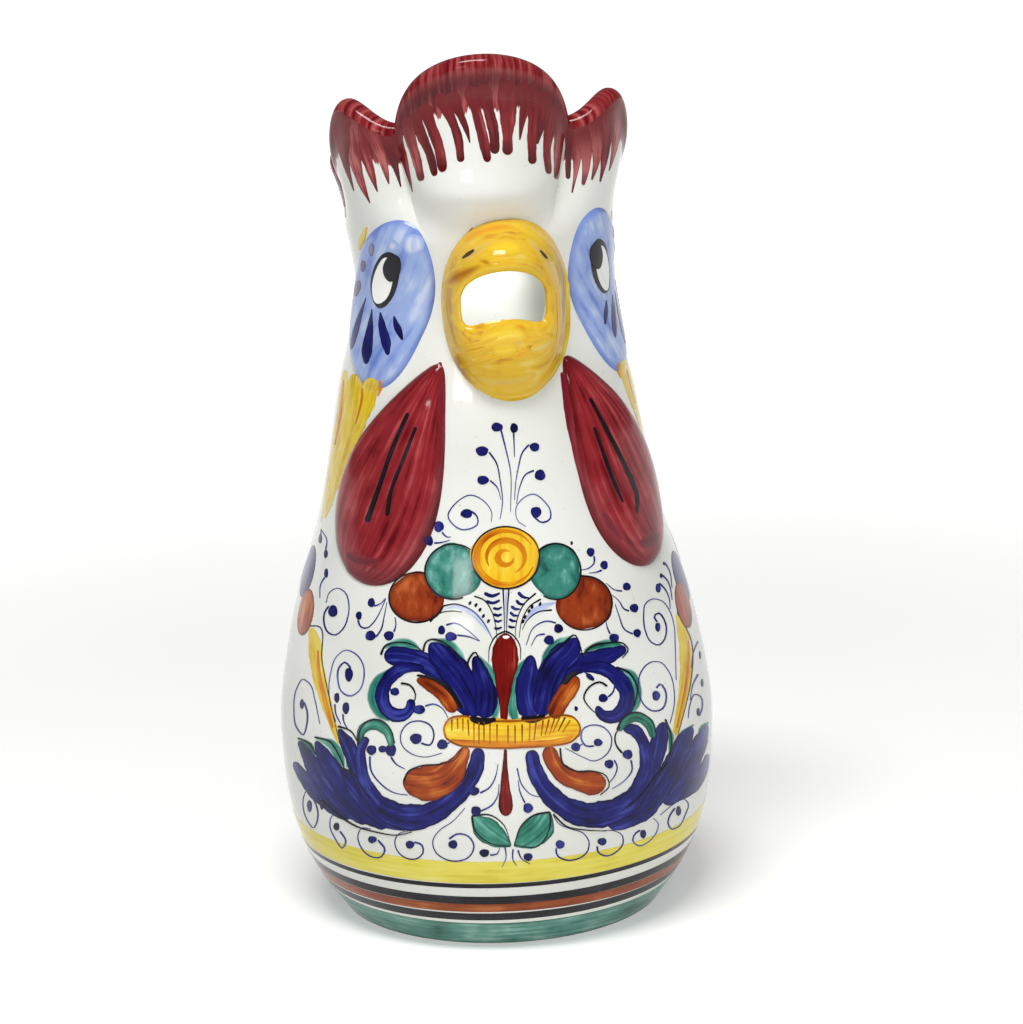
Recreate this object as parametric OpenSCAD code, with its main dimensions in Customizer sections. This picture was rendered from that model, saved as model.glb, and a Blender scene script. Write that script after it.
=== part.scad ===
// Glazed earthenware pitcher in the form of a hen, front facing -Y, foot on the plane z = 0.
// Lengths are millimetres. Angles are degrees from the front, positive towards +X.

/* [Vessel] */
// Radius of the flat foot
foot_r = 46; // [43:0.5:50]
// Height at which the heel has flared out
heel_z = 12; // [9:0.5:16]
// Radius of the heel
heel_r = 54; // [51:0.5:57]
// Height of the widest belly
belly_z = 52; // [46:1:60]
// Radius of the belly
belly_r = 62.6; // [59:0.2:68]
// Height of the shoulder above the belly
shoulder_z = 85; // [78:1:92]
// Radius of the shoulder
shoulder_r = 58; // [55:0.5:61]
// Height of the chest
chest_z = 118; // [112:1:124]
// Radius of the chest
chest_r = 48.4; // [46:0.2:52]
// Height of the throat
throat_z = 150; // [145:1:155]
// Radius of the throat
throat_r = 42.4; // [41:0.2:45]
// Height of the waist behind the cheeks
waist_z = 186; // [183:1:189]
// Radius of the waist
waist_r = 35.8; // [34.6:0.2:38]
// Height of the collar that carries the comb
collar_z = 198; // [195:0.5:200]
// Radius of the collar
collar_r = 37.6; // [36.6:0.2:39]
// Thickness of the wall
wall = 5; // [4:0.25:6]
// Thickness of the floor
floor_t = 7; // [5:0.5:9]
// Radius inside between the floor and the wall
floor_fillet = 9; // [4:0.5:12]
// Chamfer of the foot's edge
foot_chamfer = 0.8; // [0.4:0.1:1.5]

/* [Comb] */
// Height above the collar at which the comb has flared out
flare_h = 20; // [16:1:24]
// Radius of the comb at that height
flare_r = 42; // [40:0.2:44]
// Radius of the comb at its highest rim
crest_r = 42.4; // [40:0.2:45]
// Height of the front lobe above the collar
front_lobe_h = 52; // [46:1:56]
// Height of the notch beside the front lobe
front_notch_h = 32.5; // [28:0.5:36]
// Height of the side lobe
side_lobe_h = 39; // [36:0.5:42]
// Height of the notch behind the side lobe
side_notch_h = 17; // [14:0.5:19]
// Height of the rear lobe
rear_lobe_h = 22; // [20:0.5:26]
// Height of the notch behind the rear lobe
rear_notch_h = 9; // [8:0.5:12]
// Height of the back rim
back_rim_h = 10; // [9:0.5:14]
// Turn of the whole comb about the axis
comb_turn = -4.5; // [-8:0.5:0]
// Angle of the notch beside the front lobe
front_edge = 39; // [36:1:42]
// Angle at which the front lobe starts, down at the collar
front_root = 17; // [14:1:24]
// Angle of the side lobe's top
side_top = 61; // [56:1:66]
// Angle of the notch behind the side lobe
side_edge = 88; // [84:1:92]
// Angle of the rear lobe's top
rear_top = 112; // [108:1:118]
// Angle of the notch behind the rear lobe
rear_edge = 136; // [130:1:142]
// Depth of the flutes between the lobes
flute_depth = 6; // [3:0.5:7]
// Height over which the flutes grow out of the collar
flute_rise = 16; // [12:1:22]
// How far the forehead swells in front
brow_lift = 3.5; // [1:0.25:5]
// Height of the forehead above the collar
brow_rise = 13; // [10:0.5:16]
// Height over which the forehead swells
brow_h = 8; // [6:0.5:10]
// Radius of the rounded lip
lip_r = 3.2; // [2.6:0.1:3.6]
// How far the lip stands out from the comb's wall
lip_bulge = 1.2; // [0:0.1:2]
// Height over which the lip swells
lip_band = 5; // [3:0.5:8]

/* [Beak] */
// Height of the middle of the beak
beak_z = 180.5; // [178:0.5:182]
// How far the beak is set to the right of the pouring hole
beak_side = 2; // [1:0.25:2.5]
// Width of the beak at its root
beak_w = 35; // [33:0.5:35.5]
// Height of the beak at its root
beak_h = 49; // [46:0.5:51]
// How far the upper beak stands out from the wall
upper_reach = 15; // [12:0.5:18]
// How far the lower beak stands out from the wall
lower_reach = 12; // [9:0.5:15]
// How far the corners of the mouth stand out from the wall
corner_reach = 11; // [8:0.5:14]
// Height of the middle of the pouring hole
hole_z = 184.5; // [183:0.5:186]
// Width of the pouring hole
hole_w = 23; // [20:0.5:24]
// Height of the hole above its middle
hole_up = 8.2; // [7:0.2:9.5]
// Depth of the hole below its middle
hole_down = 8.6; // [7:0.2:9.5]
// How far the sill of the hole rises in its middle
sill_rise = 3; // [0:0.25:4]
// How far the lips of the beak are rounded back
lip_drop = 1; // [0.5:0.25:2]
// Angle of the corners of the mouth below the middle of the hole
mouth_angle = 30; // [20:2:40]

/* [Cheeks] */
// Angle of the middle of each eye patch
cheek_angle = 58; // [57.5:0.5:62]
// Turn of both eye patches to the right, towards the beak's own side
cheek_shift = 3; // [2.5:0.25:4]
// Height of the middle of each eye patch
cheek_z = 182; // [181:0.5:183]
// Width of an eye patch
cheek_w = 32; // [29:0.5:32.5]
// Height of an eye patch
cheek_h = 49.5; // [45:0.5:50.5]
// Relief of an eye patch
cheek_t = 2.2; // [1.4:0.1:3]
// Lean of an eye patch, its lower end towards the back
cheek_lean = 30; // [24:1:32]

/* [Wattles] */
// Angle of the middle of each wattle
wattle_angle = 44; // [43.5:0.5:47]
// Turn of both wattles to the right
wattle_shift = 1; // [0.75:0.25:2]
// Height of the middle of each wattle
wattle_z = 135.5; // [133:0.5:136]
// Width of a wattle
wattle_w = 32.5; // [29:0.5:33]
// Length of a wattle
wattle_h = 64; // [58:0.5:65]
// Relief of a wattle
wattle_t = 3.4; // [2.4:0.1:4.4]
// Lean of a wattle, its lower end towards the back
wattle_lean = 21.5; // [19:0.5:23]

/* [Handle] */
// Height at which the handle leaves the neck
handle_top_z = 174; // [168:1:178]
// Height at which the handle joins the shoulder
handle_foot_z = 84; // [76:1:92]
// How far behind the axis the handle reaches
handle_reach = 94; // [86:1:102]
// How far the handle climbs before it turns down
handle_rise = 22; // [12:1:28]
// Width of the strap
handle_w = 22; // [19:0.5:26]
// Thickness of the strap
handle_t = 13; // [11:0.5:14]
// Widening of the strap where it is luted on
handle_flare = 5; // [2:0.5:6]

/* [Hidden] */
// Layer of slip that lutes a piece to the wall
slip = 0.2;
// Overrun of a cut
over = 2;
// Thickness of a relief at its own edge
relief_edge = 0.7;
// Steps of the exact wall and the fillet, and of the lofted pieces
wall_steps = 44;
fillet_steps = 6;
hole_steps = 40;
lobe_columns = [9, 13, 12, 11];
comb_rows = 12;
lip_rows = 3;
beak_step = 6;
beak_rows = 9;
pad_cells = 14;
handle_rings = 34;
handle_sides = 16;
seat_rings = 3;
// Roundness exponents and proportions, chosen by eye
lobe_round_share = 2.4;
front_arch_share = 0.6;
lip_crest_share = 0.9;
comb_row_share = 1.6;
beak_round_share = 2.3;
beak_ridge_share = 2.2;
beak_side_share = 2.6;
beak_lip_share = 0.12;
throat_share = 0.3;
throat_top_share = 0.1;
hole_side_share = 0.7;
hole_sill_share = 0.3;
pad_dome_share = 3;
pad_edge_share = 0.7;
cheek_square_share = 0.82;
cheek_taper_share = -0.38;
wattle_square_share = 1;
wattle_taper_share = -0.58;
handle_flare_share = 0.16;

function mix(a, b, t) = a + (b - a) * t;
function clamp01(t) = max(0, min(1, t));
function smooth(t) = let (c = clamp01(t)) c * c * (3 - 2 * c);
function ease(t) = (1 - cos(180 * t)) / 2;
function power(v, e) = sign(v) * pow(abs(v), e);
function polar(r, a, z) = [r * sin(a), -r * cos(a), z];
function fold(a) = abs(a > 180 ? a - 360 : a);

// Outer wall: a smooth curve through the stations, height then radius
stations = [[0, foot_r], [heel_z, heel_r], [belly_z, belly_r], [shoulder_z, shoulder_r], [chest_z, chest_r],
            [throat_z, throat_r], [waist_z, waist_r], [collar_z, collar_r],
            [collar_z + flare_h, flare_r], [collar_z + front_lobe_h, crest_r]];
last_span = len(stations) - 2;
function span_below(z, k = 0) = k == last_span || z < stations[k + 1][0] ? k : span_below(z, k + 1);
function rise(k) = stations[k + 1][0] - stations[k][0];
function grade(k) = (stations[k + 1][1] - stations[k][1]) / rise(k);
function slope(k) = k == 0 ? grade(0) : k > last_span ? grade(last_span)
    : (rise(k) * grade(k - 1) + rise(k - 1) * grade(k)) / (rise(k) + rise(k - 1));
function wall_r(z) = let (k = span_below(z), h = rise(k), t = (z - stations[k][0]) / h)
    mix(stations[k][1], stations[k + 1][1], t * t * (3 - 2 * t))
    + h * t * (1 - t) * ((1 - t) * slope(k) - t * slope(k + 1));

// Comb: the crease beside the forehead, and the place of an angle within its lobe, -1 to 1
function crease(z) = let (t = 1 - clamp01((z - collar_z) / front_notch_h))
    mix(front_root, front_edge, sqrt(1 - t * t));
function lobe_place(f, z) = let (c = crease(z))
    f < c ? f / c
    : f < side_edge ? 2 * (f - c) / (side_edge - c) - 1
    : f < rear_edge ? 2 * (f - side_edge) / (rear_edge - side_edge) - 1
    : (f - 180) / (180 - rear_edge);
function flute(f, z) = -flute_depth * pow(abs(lobe_place(f, z)), lobe_round_share);
function brow(f, z) = let (t = f / crease(z), d = (z - collar_z - brow_rise) / brow_h)
    t < 1 ? brow_lift * (1 - t * t) * exp(-d * d) : 0;
function skin_r(a, z) = z <= collar_z ? wall_r(z) : let (f = fold(a - comb_turn))
    wall_r(z) + smooth((z - collar_z) / flute_rise) * (flute(f, z) + brow(f, z));

// Rim of the comb above the collar, eased from station to station, with an arched front lobe
rim_stations = [[front_edge, front_notch_h], [side_top, side_lobe_h], [side_edge, side_notch_h],
                [rear_top, rear_lobe_h], [rear_edge, rear_notch_h], [180, back_rim_h]];
function rim_between(f, k) = let (p = rim_stations[k], q = rim_stations[k + 1])
    f <= q[0] || k == len(rim_stations) - 2 ? mix(p[1], q[1], ease((f - p[0]) / (q[0] - p[0])))
    : rim_between(f, k + 1);
function front_arch(t) = pow(1 - t * t, front_arch_share);
function rim_h(f) = f >= front_edge ? rim_between(f, 0)
    : mix(front_notch_h, front_lobe_h, front_arch(f / front_edge));

// Angle of a comb column at a height: columns follow the crease beside the forehead, and the comb's turn
function lean(f, z) = let (c = crease(z))
    f <= front_edge ? f * c / front_edge
    : f < side_edge ? mix(c, side_edge, (f - front_edge) / (side_edge - front_edge)) : f;
function comb_angle(a, z) = comb_turn + (a <= 180 ? lean(a, z) : 360 - lean(360 - a, z));

// Thick skin between two grids of points, rows by columns, the rows closed into rings or not
module skin(outer, inner, closed) {
    rows = len(outer);
    cols = len(outer[0]);
    spans = closed ? cols : cols - 1;
    base = rows * cols;
    points = [for (row = outer) each row, for (row = inner) each row];
    function at(r, c) = r * cols + c % cols;
    function quad(a, b, c, d) = [[a, b, c], [a, c, d]];
    polyhedron(points, [
        for (r = [0 : rows - 2], c = [0 : spans - 1]) each concat(
            quad(at(r, c), at(r + 1, c), at(r + 1, c + 1), at(r, c + 1)),
            quad(base + at(r, c), base + at(r, c + 1), base + at(r + 1, c + 1), base + at(r + 1, c))),
        for (c = [0 : spans - 1]) each concat(
            quad(at(0, c), at(0, c + 1), base + at(0, c + 1), base + at(0, c)),
            quad(at(rows - 1, c), base + at(rows - 1, c), base + at(rows - 1, c + 1), at(rows - 1, c + 1))),
        if (!closed) for (r = [0 : rows - 2]) each concat(
            quad(at(r, 0), base + at(r, 0), base + at(r + 1, 0), at(r + 1, 0)),
            quad(at(r, spans), at(r + 1, spans), base + at(r + 1, spans), base + at(r, spans)))
    ]);
}

// Pouring hole: an arch over a nearly straight sill, as a point at an angle round its middle,
// and the wider throat behind it in the wall
function sill(v) = hole_down * power(v, hole_sill_share) + sill_rise * pow(v, 4);
function hole_point(p) = let (u = cos(p), v = sin(p))
    [hole_w / 2 * (v > 0 ? u : power(u, hole_side_share)), hole_z + (v > 0 ? hole_up * v : sill(v))];
function root_point(p) = [beak_side + beak_w / 2 * power(cos(p), 2 / beak_round_share),
    beak_z + beak_h / 2 * power(sin(p), 2 / beak_round_share)];
function throat(p) = mix(throat_share, throat_top_share, pow(max(0, sin(p)), 2));
function beak_spot(p, s) = mix(hole_point(p), root_point(p), s);
module pour_hole() {
    rotate([90, 0, 0])
        linear_extrude(wall_r(hole_z - hole_down) + over)
            polygon([for (k = [0 : hole_steps - 1]) let (p = 360 * k / hole_steps) beak_spot(p, throat(p))]);
}

// Vessel: the thrown wall with its floor, cut through for the beak
module vessel() {
    inner_foot_z = floor_t + floor_fillet;
    inner_foot_r = wall_r(inner_foot_z) - wall - floor_fillet;
    foot_to_rim = [for (k = [0 : wall_steps]) mix(foot_chamfer, collar_z, k / wall_steps)];
    rim_to_floor = [for (k = [0 : wall_steps]) mix(collar_z, inner_foot_z, k / wall_steps)];
    color("white") difference() {
        rotate_extrude()
            polygon([
                [0, 0],
                [foot_r - foot_chamfer, 0],
                for (z = foot_to_rim) [wall_r(z), z],
                for (z = rim_to_floor) [wall_r(z) - wall, z],
                for (k = [1 : fillet_steps]) let (a = 90 * k / fillet_steps)
                    [inner_foot_r + floor_fillet * cos(a), inner_foot_z - floor_fillet * sin(a)],
                [0, floor_t]
            ]);
        pour_hole();
    }
}

// Comb: a fluted wall on the collar, with lobes of falling height and a rounded lip
function comb_level(k, top) = mix(collar_z, top, pow(min(1, k / comb_rows), comb_row_share));
function comb_outer(a, k) = let (f = fold(a), top = collar_z + rim_h(f) - lip_r,
    z = comb_level(k, top), turn = 90 * max(0, k - comb_rows) / lip_rows,
    r = skin_r(comb_angle(a, z), z) + lip_swell(top - z, z))
    polar(r - lip_r * (1 - cos(turn)), comb_angle(a, z), z + lip_r * sin(turn));
function comb_inner(a, k) = let (f = fold(a), top = collar_z + rim_h(f) - lip_r,
    z = comb_level(k, top), turn = 90 * max(0, k - comb_rows) / lip_rows,
    t = mix(wall, 2 * lip_r, smooth((z - collar_z) / (top - collar_z))),
    r = skin_r(comb_angle(a, z), z) + lip_swell(top - z, z) - t)
    polar(r + lip_r * (1 - cos(turn)) * lip_crest_share, comb_angle(a, z), z + lip_r * sin(turn));
function lip_swell(d, z) = lip_bulge * exp(-pow(d / lip_band, 2)) * smooth((z - collar_z) / lip_band);
lobe_edges = [0, front_edge, side_edge, rear_edge, 180];
half_ring = [for (j = [0 : len(lobe_columns) - 1], k = [0 : lobe_columns[j] - 1])
    mix(lobe_edges[j], lobe_edges[j + 1], k / lobe_columns[j])];
module comb() {
    angles = [each half_ring, 180, for (k = [len(half_ring) - 1 : -1 : 1]) 360 - half_ring[k]];
    levels = [0 : comb_rows + lip_rows];
    color("firebrick") skin([for (k = levels) [for (a = angles) comb_outer(a, k)]],
        [for (k = levels) [for (a = angles) comb_inner(a, k)]], true);
}

// Beak: a ring round the hole, from the hole's edge at 0 to its root at 1, luted on outside the throat
function front_y(q) = let (r = skin_r(asin(q[0] / wall_r(q[1])), q[1])) -sqrt(r * r - q[0] * q[0]);
function beak_reach(p) = let (v = sin(p)) mix(corner_reach, v > 0 ? upper_reach : lower_reach, v * v);
function beak_lift(p, s) = let (lip = 1 - clamp01(s / beak_lip_share),
    swell = mix(beak_side_share, beak_ridge_share, pow(sin(p), 2)))
    mix(relief_edge, beak_reach(p), 1 - pow(s, swell)) - lip_drop * lip * lip;
function beak_point(p, s, lift) = let (q = beak_spot(p, s)) [q[0], front_y(q) - lift, q[1]];
module beak_half(from, to) {
    steps = round((to - from) / beak_step);
    angles = [for (k = [0 : steps]) mix(to, from, k / steps)];
    shares = [for (k = [0 : beak_rows]) k / beak_rows];
    skin([for (s = shares) [for (p = angles) beak_point(p, s, beak_lift(p, s))]],
        [for (s = shares) [for (p = angles) beak_point(p, mix(throat(p), 1, s), slip)]], false);
}
module upper_beak() {
    color("goldenrod") beak_half(-mouth_angle, 180 + mouth_angle);
}
module lower_beak() {
    color("goldenrod") beak_half(180 + mouth_angle, 360 - mouth_angle);
}

// Relief pad on the wall: a square grid drawn to a round outline, domed and leaning
function disc(u, v) = let (m = max(abs(u), abs(v)), n = norm([u, v])) n == 0 ? [0, 0] : [u, v] * m / n;
function outline(d, w, h, square, taper) = let (m = norm(d), s = m == 0 ? [0, 0] : d / m)
    m * [w / 2 * power(s[0], square) * (1 + taper * s[1]), h / 2 * power(s[1], square)];
function turned(q, a) = [q[0] * cos(a) - q[1] * sin(a), q[0] * sin(a) + q[1] * cos(a)];
function dome(d, t) = mix(relief_edge, t, pow(1 - pow(min(1, norm(d)), pad_dome_share), pad_edge_share));
function on_wall(a, z, q, lift) = let (h = z + q[1], c = a + q[0] / wall_r(h) * 180 / PI)
    polar(skin_r(c, h) + lift, c, h);
module pad(a, z, w, h, t, square, taper, tilt) {
    steps = [for (k = [0 : pad_cells]) 2 * k / pad_cells - 1];
    function spot(u, v) = turned(outline(disc(u, v), w, h, square, taper), tilt);
    skin([for (v = steps) [for (u = steps) on_wall(a, z, spot(u, v), dome(disc(u, v), t))]],
        [for (v = steps) [for (u = steps) on_wall(a, z, spot(u, v), slip)]], false);
}
module cheek(side) {
    color("cornflowerblue") pad(side * cheek_angle + cheek_shift, cheek_z, cheek_w, cheek_h, cheek_t,
        cheek_square_share, cheek_taper_share, side * cheek_lean);
}
module left_cheek() {
    cheek(-1);
}
module right_cheek() {
    cheek(1);
}
module wattle(side) {
    color("brown") pad(side * wattle_angle + wattle_shift, wattle_z, wattle_w, wattle_h, wattle_t,
        wattle_square_share, wattle_taper_share, side * wattle_lean);
}
module left_wattle() {
    wattle(-1);
}
module right_wattle() {
    wattle(1);
}

// Handle: an oval strap swept along an ear-shaped curve behind the wall, its ends fitted to the wall
handle_from = wall_r(handle_top_z);
handle_to = wall_r(handle_foot_z);
handle_pull = (handle_reach - handle_t / 2 - (handle_from + handle_to) / 8) * 4 / 3;
handle_curve = [[handle_from, handle_top_z], [handle_pull, handle_top_z + handle_rise],
                [handle_pull, handle_foot_z], [handle_to, handle_foot_z]];
function curve_at(c, t) = let (u = 1 - t)
    u * u * u * c[0] + 3 * u * u * t * c[1] + 3 * u * t * t * c[2] + t * t * t * c[3];
function curve_run(c, t) = let (u = 1 - t)
    u * u * (c[1] - c[0]) + 2 * u * t * (c[2] - c[1]) + t * t * (c[3] - c[2]);
function fade(t) = exp(-pow(t / handle_flare_share, 2));
function handle_point(t, a, s = 1) = let (c = curve_at(handle_curve, t), d = curve_run(handle_curve, t),
    n = d / norm(d), grow = handle_flare * (fade(t) + fade(1 - t)),
    x = s * (handle_w + grow) / 2 * cos(a), q = s * (handle_t + grow) / 2 * sin(a),
    y = c[0] - n[1] * q, z = c[1] + n[0] * q, seat = sqrt(pow(wall_r(z), 2) - x * x) + slip)
    [x, t == 0 || t == 1 ? seat : max(y, seat), z];
module handle() {
    stops = [for (k = [1 : seat_rings]) [0, k / (seat_rings + 1)],
             for (k = [0 : handle_rings]) [k / handle_rings, 1],
             for (k = [seat_rings : -1 : 1]) [1, k / (seat_rings + 1)]];
    rings = [for (p = stops) [for (j = [0 : handle_sides - 1])
        handle_point(p[0], 360 * j / handle_sides, p[1])]];
    last = len(rings) - 1;
    ends = [[0, handle_from + slip, handle_top_z], [0, handle_to + slip, handle_foot_z]];
    count = len(rings) * handle_sides;
    function at(k, j) = k * handle_sides + j % handle_sides;
    color("white") polyhedron([for (ring = rings) each ring, each ends], [
        for (k = [0 : last - 1], j = [0 : handle_sides - 1]) each [
            [at(k, j), at(k, j + 1), at(k + 1, j + 1)], [at(k, j), at(k + 1, j + 1), at(k + 1, j)]],
        for (j = [0 : handle_sides - 1]) each [
            [count, at(0, j + 1), at(0, j)], [count + 1, at(last, j), at(last, j + 1)]]
    ]);
}

vessel();
comb();
upper_beak();
lower_beak();
left_cheek();
right_cheek();
left_wattle();
right_wattle();
handle();
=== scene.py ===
# Looks of a glazed earthenware pitcher in the form of a hen: shapes, glaze, hand painting, light and camera.
import math

import bmesh
import bpy
import numpy as np
from mathutils import Matrix, Vector


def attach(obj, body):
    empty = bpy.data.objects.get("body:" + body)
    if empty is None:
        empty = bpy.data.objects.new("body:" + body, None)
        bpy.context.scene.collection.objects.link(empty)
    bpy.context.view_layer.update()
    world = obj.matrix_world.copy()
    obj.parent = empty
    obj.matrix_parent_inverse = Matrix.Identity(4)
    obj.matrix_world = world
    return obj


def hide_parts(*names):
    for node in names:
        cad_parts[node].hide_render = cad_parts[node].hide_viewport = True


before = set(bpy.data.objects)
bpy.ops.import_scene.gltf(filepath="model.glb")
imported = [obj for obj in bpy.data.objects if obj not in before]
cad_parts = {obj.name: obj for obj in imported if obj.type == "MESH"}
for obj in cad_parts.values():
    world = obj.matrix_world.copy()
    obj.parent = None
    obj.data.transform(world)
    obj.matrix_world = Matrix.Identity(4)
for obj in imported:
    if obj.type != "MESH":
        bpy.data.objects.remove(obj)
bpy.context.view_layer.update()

# Lengths are millimetres until a mesh is made. Angles are degrees from the front, positive towards +X.
MM = 0.001
ROOT = "root"

# Vessel, comb, beak, reliefs and handle: the same sizes as in the part's source
FOOT_R = 46
HEEL_Z, HEEL_R = 12, 54
BELLY_Z, BELLY_R = 52, 62.6
SHOULDER_Z, SHOULDER_R = 85, 58
CHEST_Z, CHEST_R = 118, 48.4
THROAT_Z, THROAT_R = 150, 42.4
WAIST_Z, WAIST_R = 186, 35.8
COLLAR_Z, COLLAR_R = 198, 37.6
WALL = 5
FLOOR_T = 7
FLOOR_FILLET = 9
FOOT_CHAMFER = 0.8

FLARE_H, FLARE_R = 20, 42
CREST_R = 42.4
FRONT_LOBE_H, FRONT_NOTCH_H = 52, 32.5
SIDE_LOBE_H, SIDE_NOTCH_H = 39, 17
REAR_LOBE_H, REAR_NOTCH_H, BACK_RIM_H = 22, 9, 10
COMB_TURN = -4.5
FRONT_EDGE, FRONT_ROOT = 39, 17
SIDE_TOP, SIDE_EDGE = 61, 88
REAR_TOP, REAR_EDGE = 112, 136
FLUTE_DEPTH, FLUTE_RISE = 6, 16
BROW_LIFT, BROW_RISE, BROW_H = 3.5, 13, 8
LIP_R, LIP_BULGE, LIP_BAND = 3.2, 1.2, 5
LOBE_ROUND_SHARE = 2.4
FRONT_ARCH_SHARE = 0.6
LIP_CREST_SHARE = 0.9

BEAK_Z, BEAK_W, BEAK_H, BEAK_SIDE = 180.5, 35, 49, 2
UPPER_REACH, LOWER_REACH, CORNER_REACH = 15, 12, 11
HOLE_Z, HOLE_W, HOLE_UP, HOLE_DOWN = 184.5, 23, 8.2, 8.6
SILL_RISE = 3
LIP_DROP = 1
MOUTH_ANGLE = 30
RELIEF_EDGE = 0.7
BEAK_ROUND_SHARE = 2.3
BEAK_ARC, BEAK_BAND = math.radians(BEAK_W + BEAK_H) / 4, BEAK_H / 4
BEAK_RIDGE_SHARE, BEAK_SIDE_SHARE, BEAK_LIP_SHARE = 2.2, 2.6, 0.12
THROAT_SHARE, THROAT_TOP_SHARE = 0.3, 0.1
HOLE_SIDE_SHARE, HOLE_SILL_SHARE = 0.7, 0.3

CHEEK = {"angle": 58, "shift": 3, "z": 182, "w": 32, "h": 49.5, "t": 2.2, "lean": 30, "square": 0.82,
         "taper": -0.38}
WATTLE = {"angle": 44, "shift": 1, "z": 135.5, "w": 32.5, "h": 64, "t": 3.4, "lean": 21.5, "square": 1,
          "taper": -0.58}
PAD_DOME_SHARE, PAD_EDGE_SHARE = 4, 0.6

HANDLE_TOP_Z, HANDLE_FOOT_Z = 174, 84
HANDLE_REACH, HANDLE_RISE = 94, 22
HANDLE_W, HANDLE_T, HANDLE_FLARE = 22, 13, 5
HANDLE_FLARE_SHARE = 0.16

# Camera fitted to the photograph: distance from the axis, height and angles, focal length in pixels
IMAGE_W, IMAGE_H = 1023, 1024
CAMERA_REACH, CAMERA_Z = 1000, 359.4
CAMERA_TURN, CAMERA_PITCH, CAMERA_ROLL, CAMERA_YAW = -7.5, 13.79, -1.94, 0.36
FOCAL_PX = 3590
SENSOR = 36
RAY_STEPS = 160
PIXEL = (CAMERA_REACH - BELLY_R) / FOCAL_PX

# Layers: how far a piece is sunk into what carries it, and how thick each coat of paint is
SINK = 0.3
COAT = 0.035

# Steps of the meshes
TURN_STEPS = 288
WALL_ROWS = 200
INNER_ROWS = 90
RING_ROWS = 10
COMB_ROWS, LIP_ROWS = 44, 8
LOBE_COLUMNS = (56, 72, 64, 56)
BEAK_STEPS, BEAK_ROWS = 180, 44
PAD_CELLS = 60
HANDLE_RINGS, HANDLE_SIDES = 120, 48
FILLET_STEPS = 10
SHARP_ANGLE = math.radians(42)

# Guards against division by zero, and passes of the searches on the pads, along the rays and on the beak
SHORT, EPS = 1e-6, 1e-9
PAD_PASSES, RAY_PASSES, BEAK_PASSES = 6, 24, 4
RAY_REACH_SHARE = 3


def mix(a, b, t):
    return a + (b - a) * t


def smooth(t):
    t = np.clip(t, 0, 1)
    return t * t * (3 - 2 * t)


def power(v, e):
    return np.sign(v) * np.abs(v) ** e


def polar(r, a, z):
    a = np.radians(a)
    return np.stack(np.broadcast_arrays(r * np.sin(a), -r * np.cos(a), z), -1)


def fold(a):
    return np.abs((np.asarray(a, float) + 180) % 360 - 180)


# Outer wall: a smooth curve through the stations, height then radius
STATIONS = np.array([
    (0, FOOT_R), (HEEL_Z, HEEL_R), (BELLY_Z, BELLY_R), (SHOULDER_Z, SHOULDER_R), (CHEST_Z, CHEST_R),
    (THROAT_Z, THROAT_R), (WAIST_Z, WAIST_R), (COLLAR_Z, COLLAR_R),
    (COLLAR_Z + FLARE_H, FLARE_R), (COLLAR_Z + FRONT_LOBE_H, CREST_R)], float)
RISES = np.diff(STATIONS[:, 0])
GRADES = np.diff(STATIONS[:, 1]) / RISES
MIDDLE_SLOPES = (RISES[1:] * GRADES[:-1] + RISES[:-1] * GRADES[1:]) / (RISES[1:] + RISES[:-1])
SLOPES = np.concatenate([GRADES[:1], MIDDLE_SLOPES, GRADES[-1:]])


def wall_r(z):
    z = np.asarray(z, float)
    k = np.clip(np.searchsorted(STATIONS[:, 0], z, side="right") - 1, 0, len(RISES) - 1)
    t = (z - STATIONS[k, 0]) / RISES[k]
    ends = mix(STATIONS[k, 1], STATIONS[k + 1, 1], t * t * (3 - 2 * t))
    return ends + RISES[k] * t * (1 - t) * ((1 - t) * SLOPES[k] - t * SLOPES[k + 1])


# Comb: the crease beside the forehead, the lobes between the flutes, and the rim
def crease(z):
    t = 1 - np.clip((z - COLLAR_Z) / FRONT_NOTCH_H, 0, 1)
    return mix(FRONT_ROOT, FRONT_EDGE, np.sqrt(1 - t * t))


def lobe_place(f, z):
    c = crease(z)
    side = 2 * (f - c) / (SIDE_EDGE - c) - 1
    rear = 2 * (f - SIDE_EDGE) / (REAR_EDGE - SIDE_EDGE) - 1
    back = (f - 180) / (180 - REAR_EDGE)
    return np.where(f < c, f / c, np.where(f < SIDE_EDGE, side, np.where(f < REAR_EDGE, rear, back)))


def comb_r(a, z):
    f = fold(a - COMB_TURN)
    t = np.minimum(1, f / crease(z))
    brow = BROW_LIFT * (1 - t * t) * np.exp(-((z - COLLAR_Z - BROW_RISE) / BROW_H) ** 2)
    flute = -FLUTE_DEPTH * np.abs(lobe_place(f, z)) ** LOBE_ROUND_SHARE
    return wall_r(z) + smooth((z - COLLAR_Z) / FLUTE_RISE) * (flute + brow)


RIM = np.array([(FRONT_EDGE, FRONT_NOTCH_H), (SIDE_TOP, SIDE_LOBE_H), (SIDE_EDGE, SIDE_NOTCH_H),
                (REAR_TOP, REAR_LOBE_H), (REAR_EDGE, REAR_NOTCH_H), (180, BACK_RIM_H)], float)


def rim_h(f):
    f = np.asarray(f, float)
    k = np.clip(np.searchsorted(RIM[:, 0], f, side="right") - 1, 0, len(RIM) - 2)
    t = np.clip((f - RIM[k, 0]) / (RIM[k + 1, 0] - RIM[k, 0]), 0, 1)
    lobes = mix(RIM[k, 1], RIM[k + 1, 1], (1 - np.cos(np.pi * t)) / 2)
    arch = np.maximum(0, 1 - (f / FRONT_EDGE) ** 2) ** FRONT_ARCH_SHARE
    return np.where(f < FRONT_EDGE, mix(FRONT_NOTCH_H, FRONT_LOBE_H, arch), lobes)


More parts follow.
